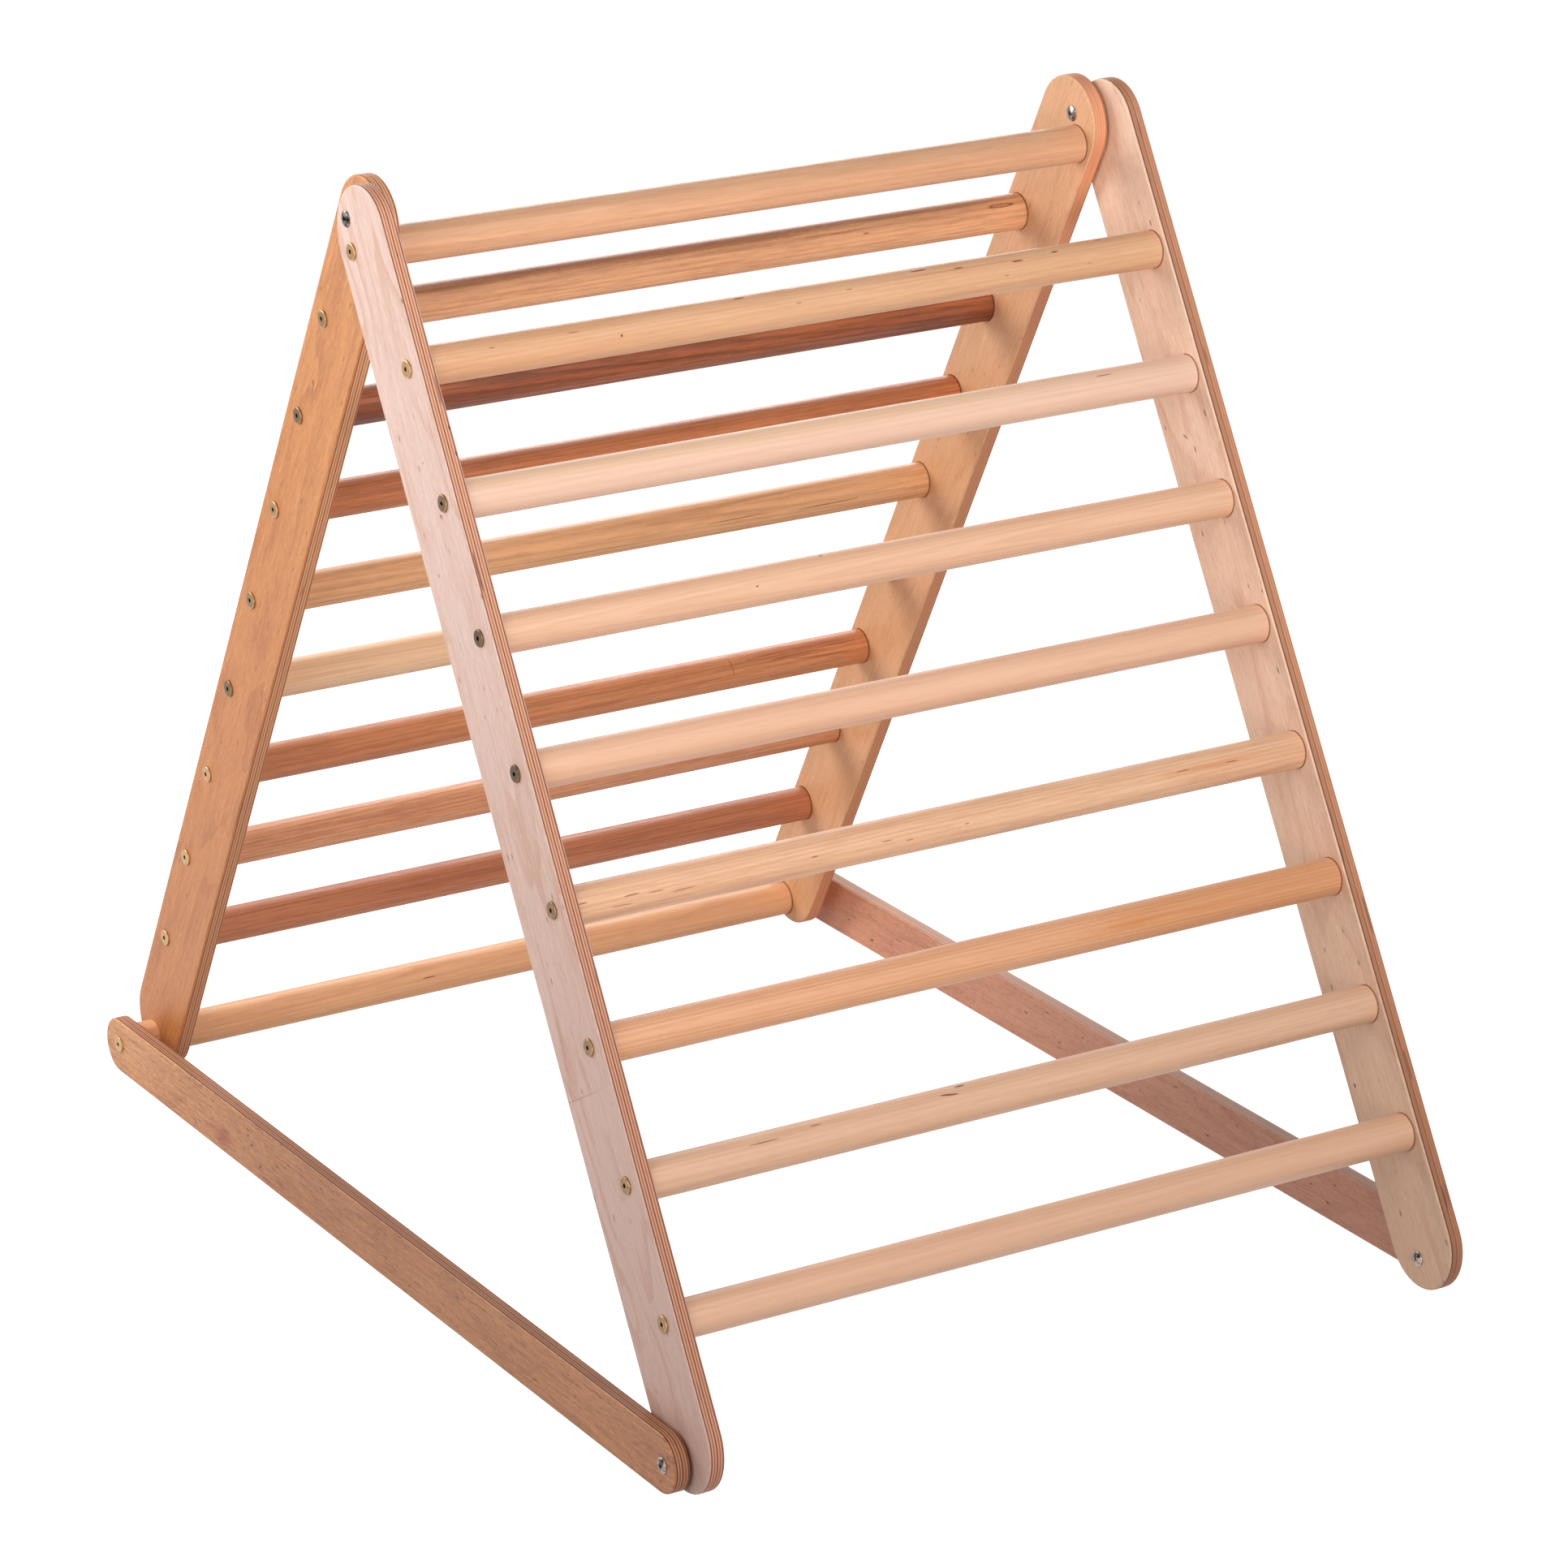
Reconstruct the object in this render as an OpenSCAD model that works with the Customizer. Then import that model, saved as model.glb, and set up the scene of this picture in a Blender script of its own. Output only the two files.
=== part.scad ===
// Folding climbing triangle: two nested plywood ladders that turn on a
// shared top rung, and a floor frame that locks their feet apart.
// X runs along the rungs, -Y is the front ladder's side, the floor is Z = 0
// and the origin is the middle of the footprint.

/* [Stance] */
// Height of the fold axis above the floor
pivot_h = 952; // [900:0.5:1000]
// Lean of the front ladder from upright, in degrees
front_lean = 29.9; // [27:0.1:32]
// Lean of the rear ladder from upright, in degrees
rear_lean = 29; // [26:0.1:31]
// Clear width between the rear rails
rear_inner_w = 718; // [600:1:820]

/* [Rails] */
// Thickness of the plywood, for the rails and the floor bars
ply_t = 15; // [12:1:18]
// Width of a ladder rail
rail_w = 90; // [84:1:100]
// From the rung axes to the climbing edge, and from the fold axis to the other edge
rail_edge_inset = 22.5; // [21:0.5:25]
// From the fold axis up to the centre of the rails' round top end
rail_top_rise = 6; // [2:1:14]
// Height of the rear rails' round foot above the floor
rear_foot_gap = 8; // [2:1:12]
// Gap between a rear rail and the front rail outside it
rail_gap = 3.5; // [3:0.1:6]
// Radius worked on the edges of the rails and bars
edge_r = 2; // [0.5:0.5:3]

/* [Rungs] */
// Diameter of every rung
rung_d = 35; // [30:1:38]
// Number of rungs in each ladder, without the top and bottom rung
rung_count = 8; // [6:1:8]
// From the fold axis down to the front ladder's first rung, along the rail
front_first_drop = 120; // [112:1:124]
// Rung spacing of the front ladder
front_pitch = 120; // [112:0.5:121]
// From the fold axis down to the rear ladder's first rung, along the rail
rear_first_drop = 121.5; // [112:0.5:124]
// Rung spacing of the rear ladder
rear_pitch = 117.25; // [110:0.25:119]
// Height of the bottom rung's axis above the floor
bottom_rung_h = 30.5; // [27:0.5:33]
// Depth of the blind sockets that the rung ends sit in
socket_depth = 5; // [3:0.5:8]
// Chamfer on the rung ends
rung_chamfer = 1; // [0.5:0.25:2]

/* [Floor bars] */
// Height of a floor bar, which is also the diameter of its round ends
bar_h = 55; // [50:1:60]
// Gap between a front rail and the floor bar outside it
bar_gap = 3.5; // [2.8:0.1:5]
// From the bottom rung's axis to the rear end of a bar
bar_rear_overhang = 32; // [30:1:45]
// From the floor lock bolt's axis to the front end of a bar
bar_front_overhang = 22; // [20:1:32]
// From the front rail's centre line back to the floor lock bolt, level with the floor
floor_lock_setback = 13; // [6:1:16]

/* [Rung bolts] */
// Diameter of a rung bolt's shank
bolt_d = 6; // [5:0.5:8]
// Length of a rung bolt under its head
bolt_len = 40; // [32:1:50]
// Diameter of a rung bolt's flat head
bolt_head_d = 16; // [14:0.5:18]
// Thickness of a rung bolt's flat head
bolt_head_t = 2; // [1.5:0.1:2.2]
// Width across flats of the hexagon socket
hex_af = 4; // [3:0.5:5]
// Depth of the hexagon socket
hex_depth = 3.2; // [2:0.2:5]
// Outer diameter of a threaded insert in a rung end
insert_d = 10; // [9:0.5:12]
// Length of a threaded insert
insert_len = 15; // [10:1:18]

/* [Lock bolts] */
// Diameter of a lock bolt's domed heads
lock_head_d = 15; // [12:0.5:17]
// Height of a lock bolt's domed heads
lock_head_t = 2.6; // [2:0.1:2.7]
// Diameter of the lock screw's shank
lock_screw_d = 6; // [5:0.5:6.5]
// Outer diameter of the lock sleeve
lock_sleeve_d = 8.5; // [8:0.25:10]
// Height of the apex lock bolt above the fold axis
apex_lock_rise = 27; // [26:0.5:30]
// From the fold axis back to the apex lock bolt
apex_lock_back = 9; // [4:0.5:14]

/* [Clearances] */
// Between a rung end and the wall of its socket, on the radius
socket_clear = 0.4; // [0.2:0.1:0.8]
// Between a turning rung and its hole in the rear rail, on the radius
pivot_clear = 0.3; // [0.2:0.05:0.6]
// Between a bolt or screw and its hole, on the radius
bolt_clear = 0.3; // [0.1:0.05:0.6]
// Between a sleeve or insert and its hole, on the radius
sleeve_clear = 0.1; // [0.05:0.05:0.4]
// From the end of a lock screw or sleeve back to the face where the pieces part
lock_end_clear = 0.3; // [0.1:0.1:1]

/* [Hidden] */
$fn = 96;
small_fn = 48;
rung_numbers = [1:rung_count];

LEFT = -1;
RIGHT = 1;
// How far a cut runs past the face that it opens
past = 1;

// Faces of the three plywood layers, outwards from the middle
rear_in = rear_inner_w / 2;
rear_out = rear_in + ply_t;
front_in = rear_out + rail_gap;
front_out = front_in + ply_t;
bar_in = front_out + bar_gap;
bar_out = bar_in + ply_t;

// Lines along a ladder: the rail's centre line and the rung axes lie this far
// outwards from the fold axis
centre_off = rail_w / 2 - rail_edge_inset;
rung_off = rail_w - 2 * rail_edge_inset;
// Distance down a leaning centre line from the fold axis to a height above the floor
function drop_to(height, lean) =
  (pivot_h + centre_off * sin(lean) - height) / cos(lean);
// Distance of a centre line from the fold axis, level with the floor, at such a drop
function reach_at(drop, lean) = centre_off * cos(lean) + drop * sin(lean);
front_foot_drop = drop_to(rail_w / 2, front_lean);
rear_foot_drop = drop_to(rail_w / 2 + rear_foot_gap, rear_lean);
// Reaches from the fold axis, level with the floor, to the front and to the rear
floor_lock_z = bar_h / 2;
floor_lock_reach = reach_at(drop_to(floor_lock_z, front_lean), front_lean) - floor_lock_setback;
bottom_rung_reach = reach_at(drop_to(bottom_rung_h, rear_lean), rear_lean);
toe_reach = reach_at(front_foot_drop, front_lean) + rail_w / 2;
heel_reach = bottom_rung_reach + bar_rear_overhang;
fold_y = (toe_reach - heel_reach) / 2;

floor_lock_y = fold_y - floor_lock_reach;
bottom_rung_y = fold_y + bottom_rung_reach;
apex_lock_y = fold_y + apex_lock_back;
apex_lock_z = pivot_h + apex_lock_rise;
bar_front_y = floor_lock_y - bar_front_overhang;
bar_rear_y = bottom_rung_y + bar_rear_overhang;

// Half lengths of the rungs, socket to socket
front_rung_half = front_in + socket_depth;
rear_rung_half = rear_in + socket_depth;
bottom_rung_half = bar_in + socket_depth;

socket_d = rung_d + 2 * socket_clear;
pivot_hole_d = rung_d + 2 * pivot_clear;
bolt_hole_d = bolt_d + 2 * bolt_clear;
insert_hole_d = insert_d + 2 * sleeve_clear;
// The bolt's tip runs this far into the rung, and its bore a little further
bolt_reach = bolt_len - (ply_t - socket_depth);
tail_bore_depth = bolt_reach + 5;
insert_chamfer = 0.6;
bolt_tip_chamfer = 0.8;
bolt_rim_chamfer = 0.6;
lock_rim_t = 0.9;
lock_screw_hole_d = lock_screw_d + 2 * bolt_clear;
lock_sleeve_hole_d = lock_sleeve_d + 2 * sleeve_clear;
lock_shank_len = ply_t - lock_end_clear;
lock_thread_depth = lock_shank_len - 3;
cross_w = 1.2;
cross_span = 5.6;
cross_depth = 1.5;

front_rail_tone_left = [0.92, 0.80, 0.71];
front_rail_tone_right = [0.80, 0.65, 0.53];
rear_rail_tone_left = [0.77, 0.49, 0.32];
rear_rail_tone_right = [0.87, 0.68, 0.51];
bar_tone_left = [0.88, 0.70, 0.54];
bar_tone_right = [0.72, 0.47, 0.35];
top_rung_tone = [0.76, 0.57, 0.41];
bottom_rung_tone = [0.80, 0.55, 0.36];
front_rung_tones = [
  [0.86, 0.69, 0.52], [0.93, 0.80, 0.66], [0.90, 0.74, 0.63], [0.93, 0.76, 0.62],
  [0.88, 0.63, 0.43], [0.85, 0.64, 0.46], [0.90, 0.73, 0.59], [0.93, 0.78, 0.65]
];
rear_rung_tones = [
  [0.60, 0.38, 0.27], [0.45, 0.23, 0.17], [0.50, 0.28, 0.20], [0.77, 0.51, 0.34],
  [0.84, 0.65, 0.48], [0.62, 0.35, 0.25], [0.68, 0.45, 0.31], [0.52, 0.29, 0.22]
];
brass = [0.72, 0.58, 0.36];
zinc = [0.78, 0.76, 0.70];
steel = [0.80, 0.80, 0.82];

// ---- placing ----

// A ladder's own frame: X across, Z up the rail from the fold axis, and the
// climbing side towards -Y
module front_ladder_frame() {
  at_fold_axis() rotate([-front_lean, 0, 0]) children();
}

module rear_ladder_frame() {
  at_fold_axis() mirror([0, 1, 0]) rotate([-rear_lean, 0, 0]) children();
}

// Children are drawn on the right and mirrored for the left
module on_side(side) {
  mirror([side == LEFT ? 1 : 0, 0, 0]) children();
}

module at_front_rungs() {
  for (k = rung_numbers) at_front_rung(k) children();
}

module at_rear_rungs() {
  for (k = rung_numbers) at_rear_rung(k) children();
}

module at_front_rung(k) {
  translate([0, -rung_off, -front_first_drop - (k - 1) * front_pitch]) children();
}

module at_rear_rung(k) {
  translate([0, -rung_off, -rear_first_drop - (k - 1) * rear_pitch]) children();
}

module at_bottom_rung() {
  translate([0, bottom_rung_y, bottom_rung_h]) children();
}

module at_fold_axis() {
  translate([0, fold_y, pivot_h]) children();
}

module at_apex_lock() {
  translate([0, apex_lock_y, apex_lock_z]) children();
}

module at_floor_lock() {
  translate([0, floor_lock_y, floor_lock_z]) children();
}

// Turns a shape drawn along Z so that it points along +X, from the plane x
module pointing_out(x) {
  translate([x, 0, 0]) rotate([0, 90, 0]) children();
}

module pointing_in(x) {
  translate([x, 0, 0]) rotate([0, -90, 0]) children();
}

// ---- forms ----

module eased_rect(w, t) {
  difference() {
    square([w, t]);
    for (x = [0, 1], y = [0, 1])
      translate([x * w, y * t]) mirror([x, 0]) mirror([0, y]) difference() {
        translate([-past, -past]) square(edge_r + past);
        translate([edge_r, edge_r]) circle(edge_r, $fn = 32);
      }
  }
}

// Half of a round plank end about the X axis, above Z = 0
module round_end(w) {
  rotate([90, 0, 90]) rotate_extrude(angle = 180) intersection() {
    translate([-w / 2, 0]) eased_rect(w, ply_t);
    square([w, ply_t]);
  }
}

// Plywood plank in the YZ plane, its inner face at x = 0, with round ends
// centred at z_low and z_high
module plank(w, z_low, z_high) {
  translate([0, 0, z_low]) linear_extrude(z_high - z_low)
    translate([0, w / 2]) rotate(-90) eased_rect(w, ply_t);
  translate([0, 0, z_high]) round_end(w);
  translate([0, 0, z_low]) mirror([0, 0, 1]) round_end(w);
}

module rail_plank(x, foot_drop) {
  translate([x, -centre_off, 0]) plank(rail_w, -foot_drop, rail_top_rise);
}

// A hole along X between two planes
module cross_hole(d, x0, x1, fn = small_fn) {
  pointing_out(x0) cylinder(h = x1 - x0, d = d, $fn = fn);
}

// Blind socket for a rung end in a plank's inner face, with its bolt hole
module rung_socket(x_in) {
  cross_hole(socket_d, x_in - past, x_in + socket_depth, $fn);
  cross_hole(bolt_hole_d, x_in, x_in + ply_t + past);
}

// Dowel about the X axis, turned in one profile with the bores in its ends
module rung(half_len) {
  r = rung_d / 2;
  insert_bottom = half_len - insert_len - sleeve_clear;
  tail_bottom = half_len - tail_bore_depth;
  half_profile = [
    [0, tail_bottom], [bolt_hole_d / 2, tail_bottom],
    [bolt_hole_d / 2, insert_bottom], [insert_hole_d / 2, insert_bottom],
    [insert_hole_d / 2, half_len], [r - rung_chamfer, half_len],
    [r, half_len - rung_chamfer]
  ];
  other_half = [for (i = [len(half_profile) - 1:-1:0]) [half_profile[i][0], -half_profile[i][1]]];
  rotate([0, 90, 0]) rotate_extrude() polygon(concat(half_profile, other_half));
}

// Threaded insert below the plane z = 0, its bore left plain
module insert_nut() {
  r_out = insert_d / 2;
  r_in = bolt_d / 2 + sleeve_clear;
  translate([0, 0, -insert_len]) rotate_extrude($fn = small_fn) polygon([
    [r_in, 0], [r_out - insert_chamfer, 0], [r_out, insert_chamfer],
    [r_out, insert_len - insert_chamfer], [r_out - insert_chamfer, insert_len],
    [r_in, insert_len]
  ]);
}

// Flat-headed bolt: the underside of its head is z = 0 and the shank runs down
module rung_bolt() {
  head_r = bolt_head_d / 2;
  shank_r = bolt_d / 2;
  difference() {
    rotate_extrude($fn = small_fn) polygon([
      [0, -bolt_len], [shank_r - bolt_tip_chamfer, -bolt_len],
      [shank_r, -bolt_len + bolt_tip_chamfer], [shank_r, 0], [head_r, 0],
      [head_r, bolt_head_t - bolt_rim_chamfer], [head_r - bolt_rim_chamfer, bolt_head_t],
      [0, bolt_head_t]
    ]);
    translate([0, 0, bolt_head_t - hex_depth])
      cylinder(h = hex_depth + past, d = hex_af / cos(30), $fn = 6);
  }
}

// Domed head with a cross recess, standing on z = 0
module lock_head() {
  head_r = lock_head_d / 2;
  rise = lock_head_t - lock_rim_t;
  dome_r = (head_r * head_r + rise * rise) / (2 * rise);
  difference() {
    rotate_extrude($fn = small_fn) intersection() {
      translate([0, lock_head_t - dome_r]) circle(dome_r, $fn = 180);
      square([head_r, lock_head_t]);
    }
    for (turn = [0, 90]) rotate(turn) translate([-cross_span / 2, -cross_w / 2, lock_head_t - cross_depth])
      cube([cross_span, cross_w, cross_depth + past]);
  }
}

module lock_screw() {
  lock_head();
  translate([0, 0, -lock_shank_len]) cylinder(h = lock_shank_len, d = lock_screw_d, $fn = small_fn);
}

module lock_sleeve() {
  lock_head();
  difference() {
    translate([0, 0, -lock_shank_len]) cylinder(h = lock_shank_len, d = lock_sleeve_d, $fn = small_fn);
    translate([0, 0, -lock_shank_len - past])
      cylinder(h = lock_thread_depth + past, d = lock_screw_d, $fn = small_fn);
  }
}

// ---- rails and bars ----

module front_rail(side, tone) {
  color(tone) on_side(side) difference() {
    front_ladder_frame() difference() {
      rail_plank(front_in, front_foot_drop);
      at_front_rungs() rung_socket(front_in);
      rung_socket(front_in);
    }
    at_apex_lock() cross_hole(lock_screw_hole_d, front_in - past, front_out + past);
    at_floor_lock() cross_hole(lock_sleeve_hole_d, front_in - past, front_out + past);
  }
}

module rear_rail(side, tone) {
  color(tone) on_side(side) difference() {
    rear_ladder_frame() difference() {
      rail_plank(rear_in, rear_foot_drop);
      at_rear_rungs() rung_socket(rear_in);
    }
    at_fold_axis() cross_hole(pivot_hole_d, rear_in - past, rear_out + past, $fn);
    at_bottom_rung() cross_hole(pivot_hole_d, rear_in - past, rear_out + past, $fn);
    at_apex_lock() cross_hole(lock_sleeve_hole_d, rear_in - past, rear_out + past);
  }
}

module floor_bar(side, tone) {
  end_r = bar_h / 2;
  color(tone) on_side(side) difference() {
    translate([bar_in, 0, end_r]) rotate([90, 0, 0])
      plank(bar_h, end_r - bar_rear_y, -end_r - bar_front_y);
    at_bottom_rung() rung_socket(bar_in);
    at_floor_lock() cross_hole(lock_screw_hole_d, bar_in - past, bar_out + past);
  }
}

// ---- rungs ----

module front_rung(k) {
  color(front_rung_tones[k - 1]) front_ladder_frame() at_front_rung(k) rung(front_rung_half);
}

module rear_rung(k) {
  color(rear_rung_tones[k - 1]) rear_ladder_frame() at_rear_rung(k) rung(rear_rung_half);
}

module top_rung() {
  color(top_rung_tone) at_fold_axis() rung(front_rung_half);
}

module bottom_rung() {
  color(bottom_rung_tone) at_bottom_rung() rung(bottom_rung_half);
}

// ---- fasteners ----

module front_rung_bolts(side) {
  color(brass) on_side(side) front_ladder_frame()
    at_front_rungs() pointing_out(front_out) rung_bolt();
}

module rear_rung_bolts(side) {
  color(brass) on_side(side) rear_ladder_frame()
    at_rear_rungs() pointing_out(rear_out) rung_bolt();
}

module top_rung_bolts() {
  color(brass) for (side = [LEFT, RIGHT]) on_side(side)
    at_fold_axis() pointing_out(front_out) rung_bolt();
}

module bottom_rung_bolts() {
  color(brass) for (side = [LEFT, RIGHT]) on_side(side)
    at_bottom_rung() pointing_out(bar_out) rung_bolt();
}

module front_rung_inserts() {
  color(zinc) for (side = [LEFT, RIGHT]) on_side(side) front_ladder_frame()
    at_front_rungs() pointing_out(front_rung_half) insert_nut();
}

module rear_rung_inserts() {
  color(zinc) for (side = [LEFT, RIGHT]) on_side(side) rear_ladder_frame()
    at_rear_rungs() pointing_out(rear_rung_half) insert_nut();
}

module top_rung_inserts() {
  color(zinc) for (side = [LEFT, RIGHT]) on_side(side)
    at_fold_axis() pointing_out(front_rung_half) insert_nut();
}

module bottom_rung_inserts() {
  color(zinc) for (side = [LEFT, RIGHT]) on_side(side)
    at_bottom_rung() pointing_out(bottom_rung_half) insert_nut();
}

module apex_lock_screws() {
  color(steel) for (side = [LEFT, RIGHT]) on_side(side)
    at_apex_lock() pointing_out(front_out) lock_screw();
}

module apex_lock_sleeves() {
  color(steel) for (side = [LEFT, RIGHT]) on_side(side)
    at_apex_lock() pointing_in(rear_in) lock_sleeve();
}

module floor_lock_screws() {
  color(steel) for (side = [LEFT, RIGHT]) on_side(side)
    at_floor_lock() pointing_out(bar_out) lock_screw();
}

module floor_lock_sleeves() {
  color(steel) for (side = [LEFT, RIGHT]) on_side(side)
    at_floor_lock() pointing_in(front_in) lock_sleeve();
}

// ---- the whole ----

front_rail(LEFT, front_rail_tone_left);  // front_rail_left
front_rail(RIGHT, front_rail_tone_right);  // front_rail_right
rear_rail(LEFT, rear_rail_tone_left);  // rear_rail_left
rear_rail(RIGHT, rear_rail_tone_right);  // rear_rail_right
floor_bar(LEFT, bar_tone_left);  // floor_bar_left
floor_bar(RIGHT, bar_tone_right);  // floor_bar_right
top_rung();
bottom_rung();
for (k = rung_numbers) {
  front_rung(k);
  rear_rung(k);
}
front_rung_bolts(LEFT);  // front_rung_bolts_left
front_rung_bolts(RIGHT);  // front_rung_bolts_right
rear_rung_bolts(LEFT);  // rear_rung_bolts_left
rear_rung_bolts(RIGHT);  // rear_rung_bolts_right
top_rung_bolts();
bottom_rung_bolts();
front_rung_inserts();
rear_rung_inserts();
top_rung_inserts();
bottom_rung_inserts();
apex_lock_screws();
apex_lock_sleeves();
floor_lock_screws();
floor_lock_sleeves();
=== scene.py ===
"""Folding climbing triangle: its wood and metal finishes, its bolts, and the studio it stands in.

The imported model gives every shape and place. This file dresses the plywood rails and floor
bars and the round rungs in procedural wood, sets detailed bolts in place of the plain ones,
and lights and frames the whole as the photograph does. All lengths are in metres.
"""

import math

import bpy
from bpy.props import (
    CollectionProperty,
    EnumProperty,
    FloatProperty,
    FloatVectorProperty,
    IntProperty,
    PointerProperty,
)
from mathutils import Matrix, Vector


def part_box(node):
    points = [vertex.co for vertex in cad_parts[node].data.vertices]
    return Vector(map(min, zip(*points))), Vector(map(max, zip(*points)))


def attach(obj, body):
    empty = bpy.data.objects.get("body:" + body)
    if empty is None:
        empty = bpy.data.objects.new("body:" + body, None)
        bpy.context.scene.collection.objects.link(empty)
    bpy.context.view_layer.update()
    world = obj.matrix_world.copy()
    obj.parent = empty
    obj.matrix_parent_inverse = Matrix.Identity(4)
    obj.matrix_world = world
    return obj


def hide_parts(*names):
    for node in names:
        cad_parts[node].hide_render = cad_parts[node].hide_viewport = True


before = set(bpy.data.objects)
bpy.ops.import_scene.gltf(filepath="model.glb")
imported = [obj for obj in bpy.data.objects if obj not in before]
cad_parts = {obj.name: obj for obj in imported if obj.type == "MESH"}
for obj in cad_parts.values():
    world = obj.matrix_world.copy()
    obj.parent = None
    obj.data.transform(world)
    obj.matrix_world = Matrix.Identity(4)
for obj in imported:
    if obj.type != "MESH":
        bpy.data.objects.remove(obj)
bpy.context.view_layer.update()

bl_info = {
    "name": "Folding Climbing Triangle",
    "version": (1, 0, 0),
    "blender": (4, 5, 0),
    "location": "View3D > Sidebar > Triangle",
    "description": "Dresses a folding climbing triangle in plywood, dowel wood and metal",
    "category": "Object",
}

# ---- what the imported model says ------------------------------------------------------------

RUNGS_PER_LADDER = 8


def middle(node):
    low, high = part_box(node)
    return (low + high) / 2


def lean_of(ladder):
    """Angle of a ladder from upright, read from its first and last rung."""
    run = middle(f"{ladder}_rung_{RUNGS_PER_LADDER}") - middle(f"{ladder}_rung_1")
    return math.atan2(abs(run.y), abs(run.z))


def faces_across(node):
    """Distances of a node's nearer and farther face from the middle plane."""
    low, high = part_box(node)
    near, far = sorted((abs(low.x), abs(high.x)))
    return near, far


def height_of(node):
    low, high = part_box(node)
    return high.z - low.z


FOLD_AXIS = middle("top_rung")
FOLD_AXIS.x = 0
RUNG_RADIUS = height_of("top_rung") / 2
FRONT_FACES = faces_across("front_rail_left")
REAR_FACES = faces_across("rear_rail_left")
BAR_FACES = faces_across("floor_bar_left")
BOLT_ENDS = faces_across("front_rung_bolts_left")
LOCK_HEAD_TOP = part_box("apex_lock_screws")[1].x

# ---- finishes ------------------------------------------------------------------------------

MM = 0.001

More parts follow.
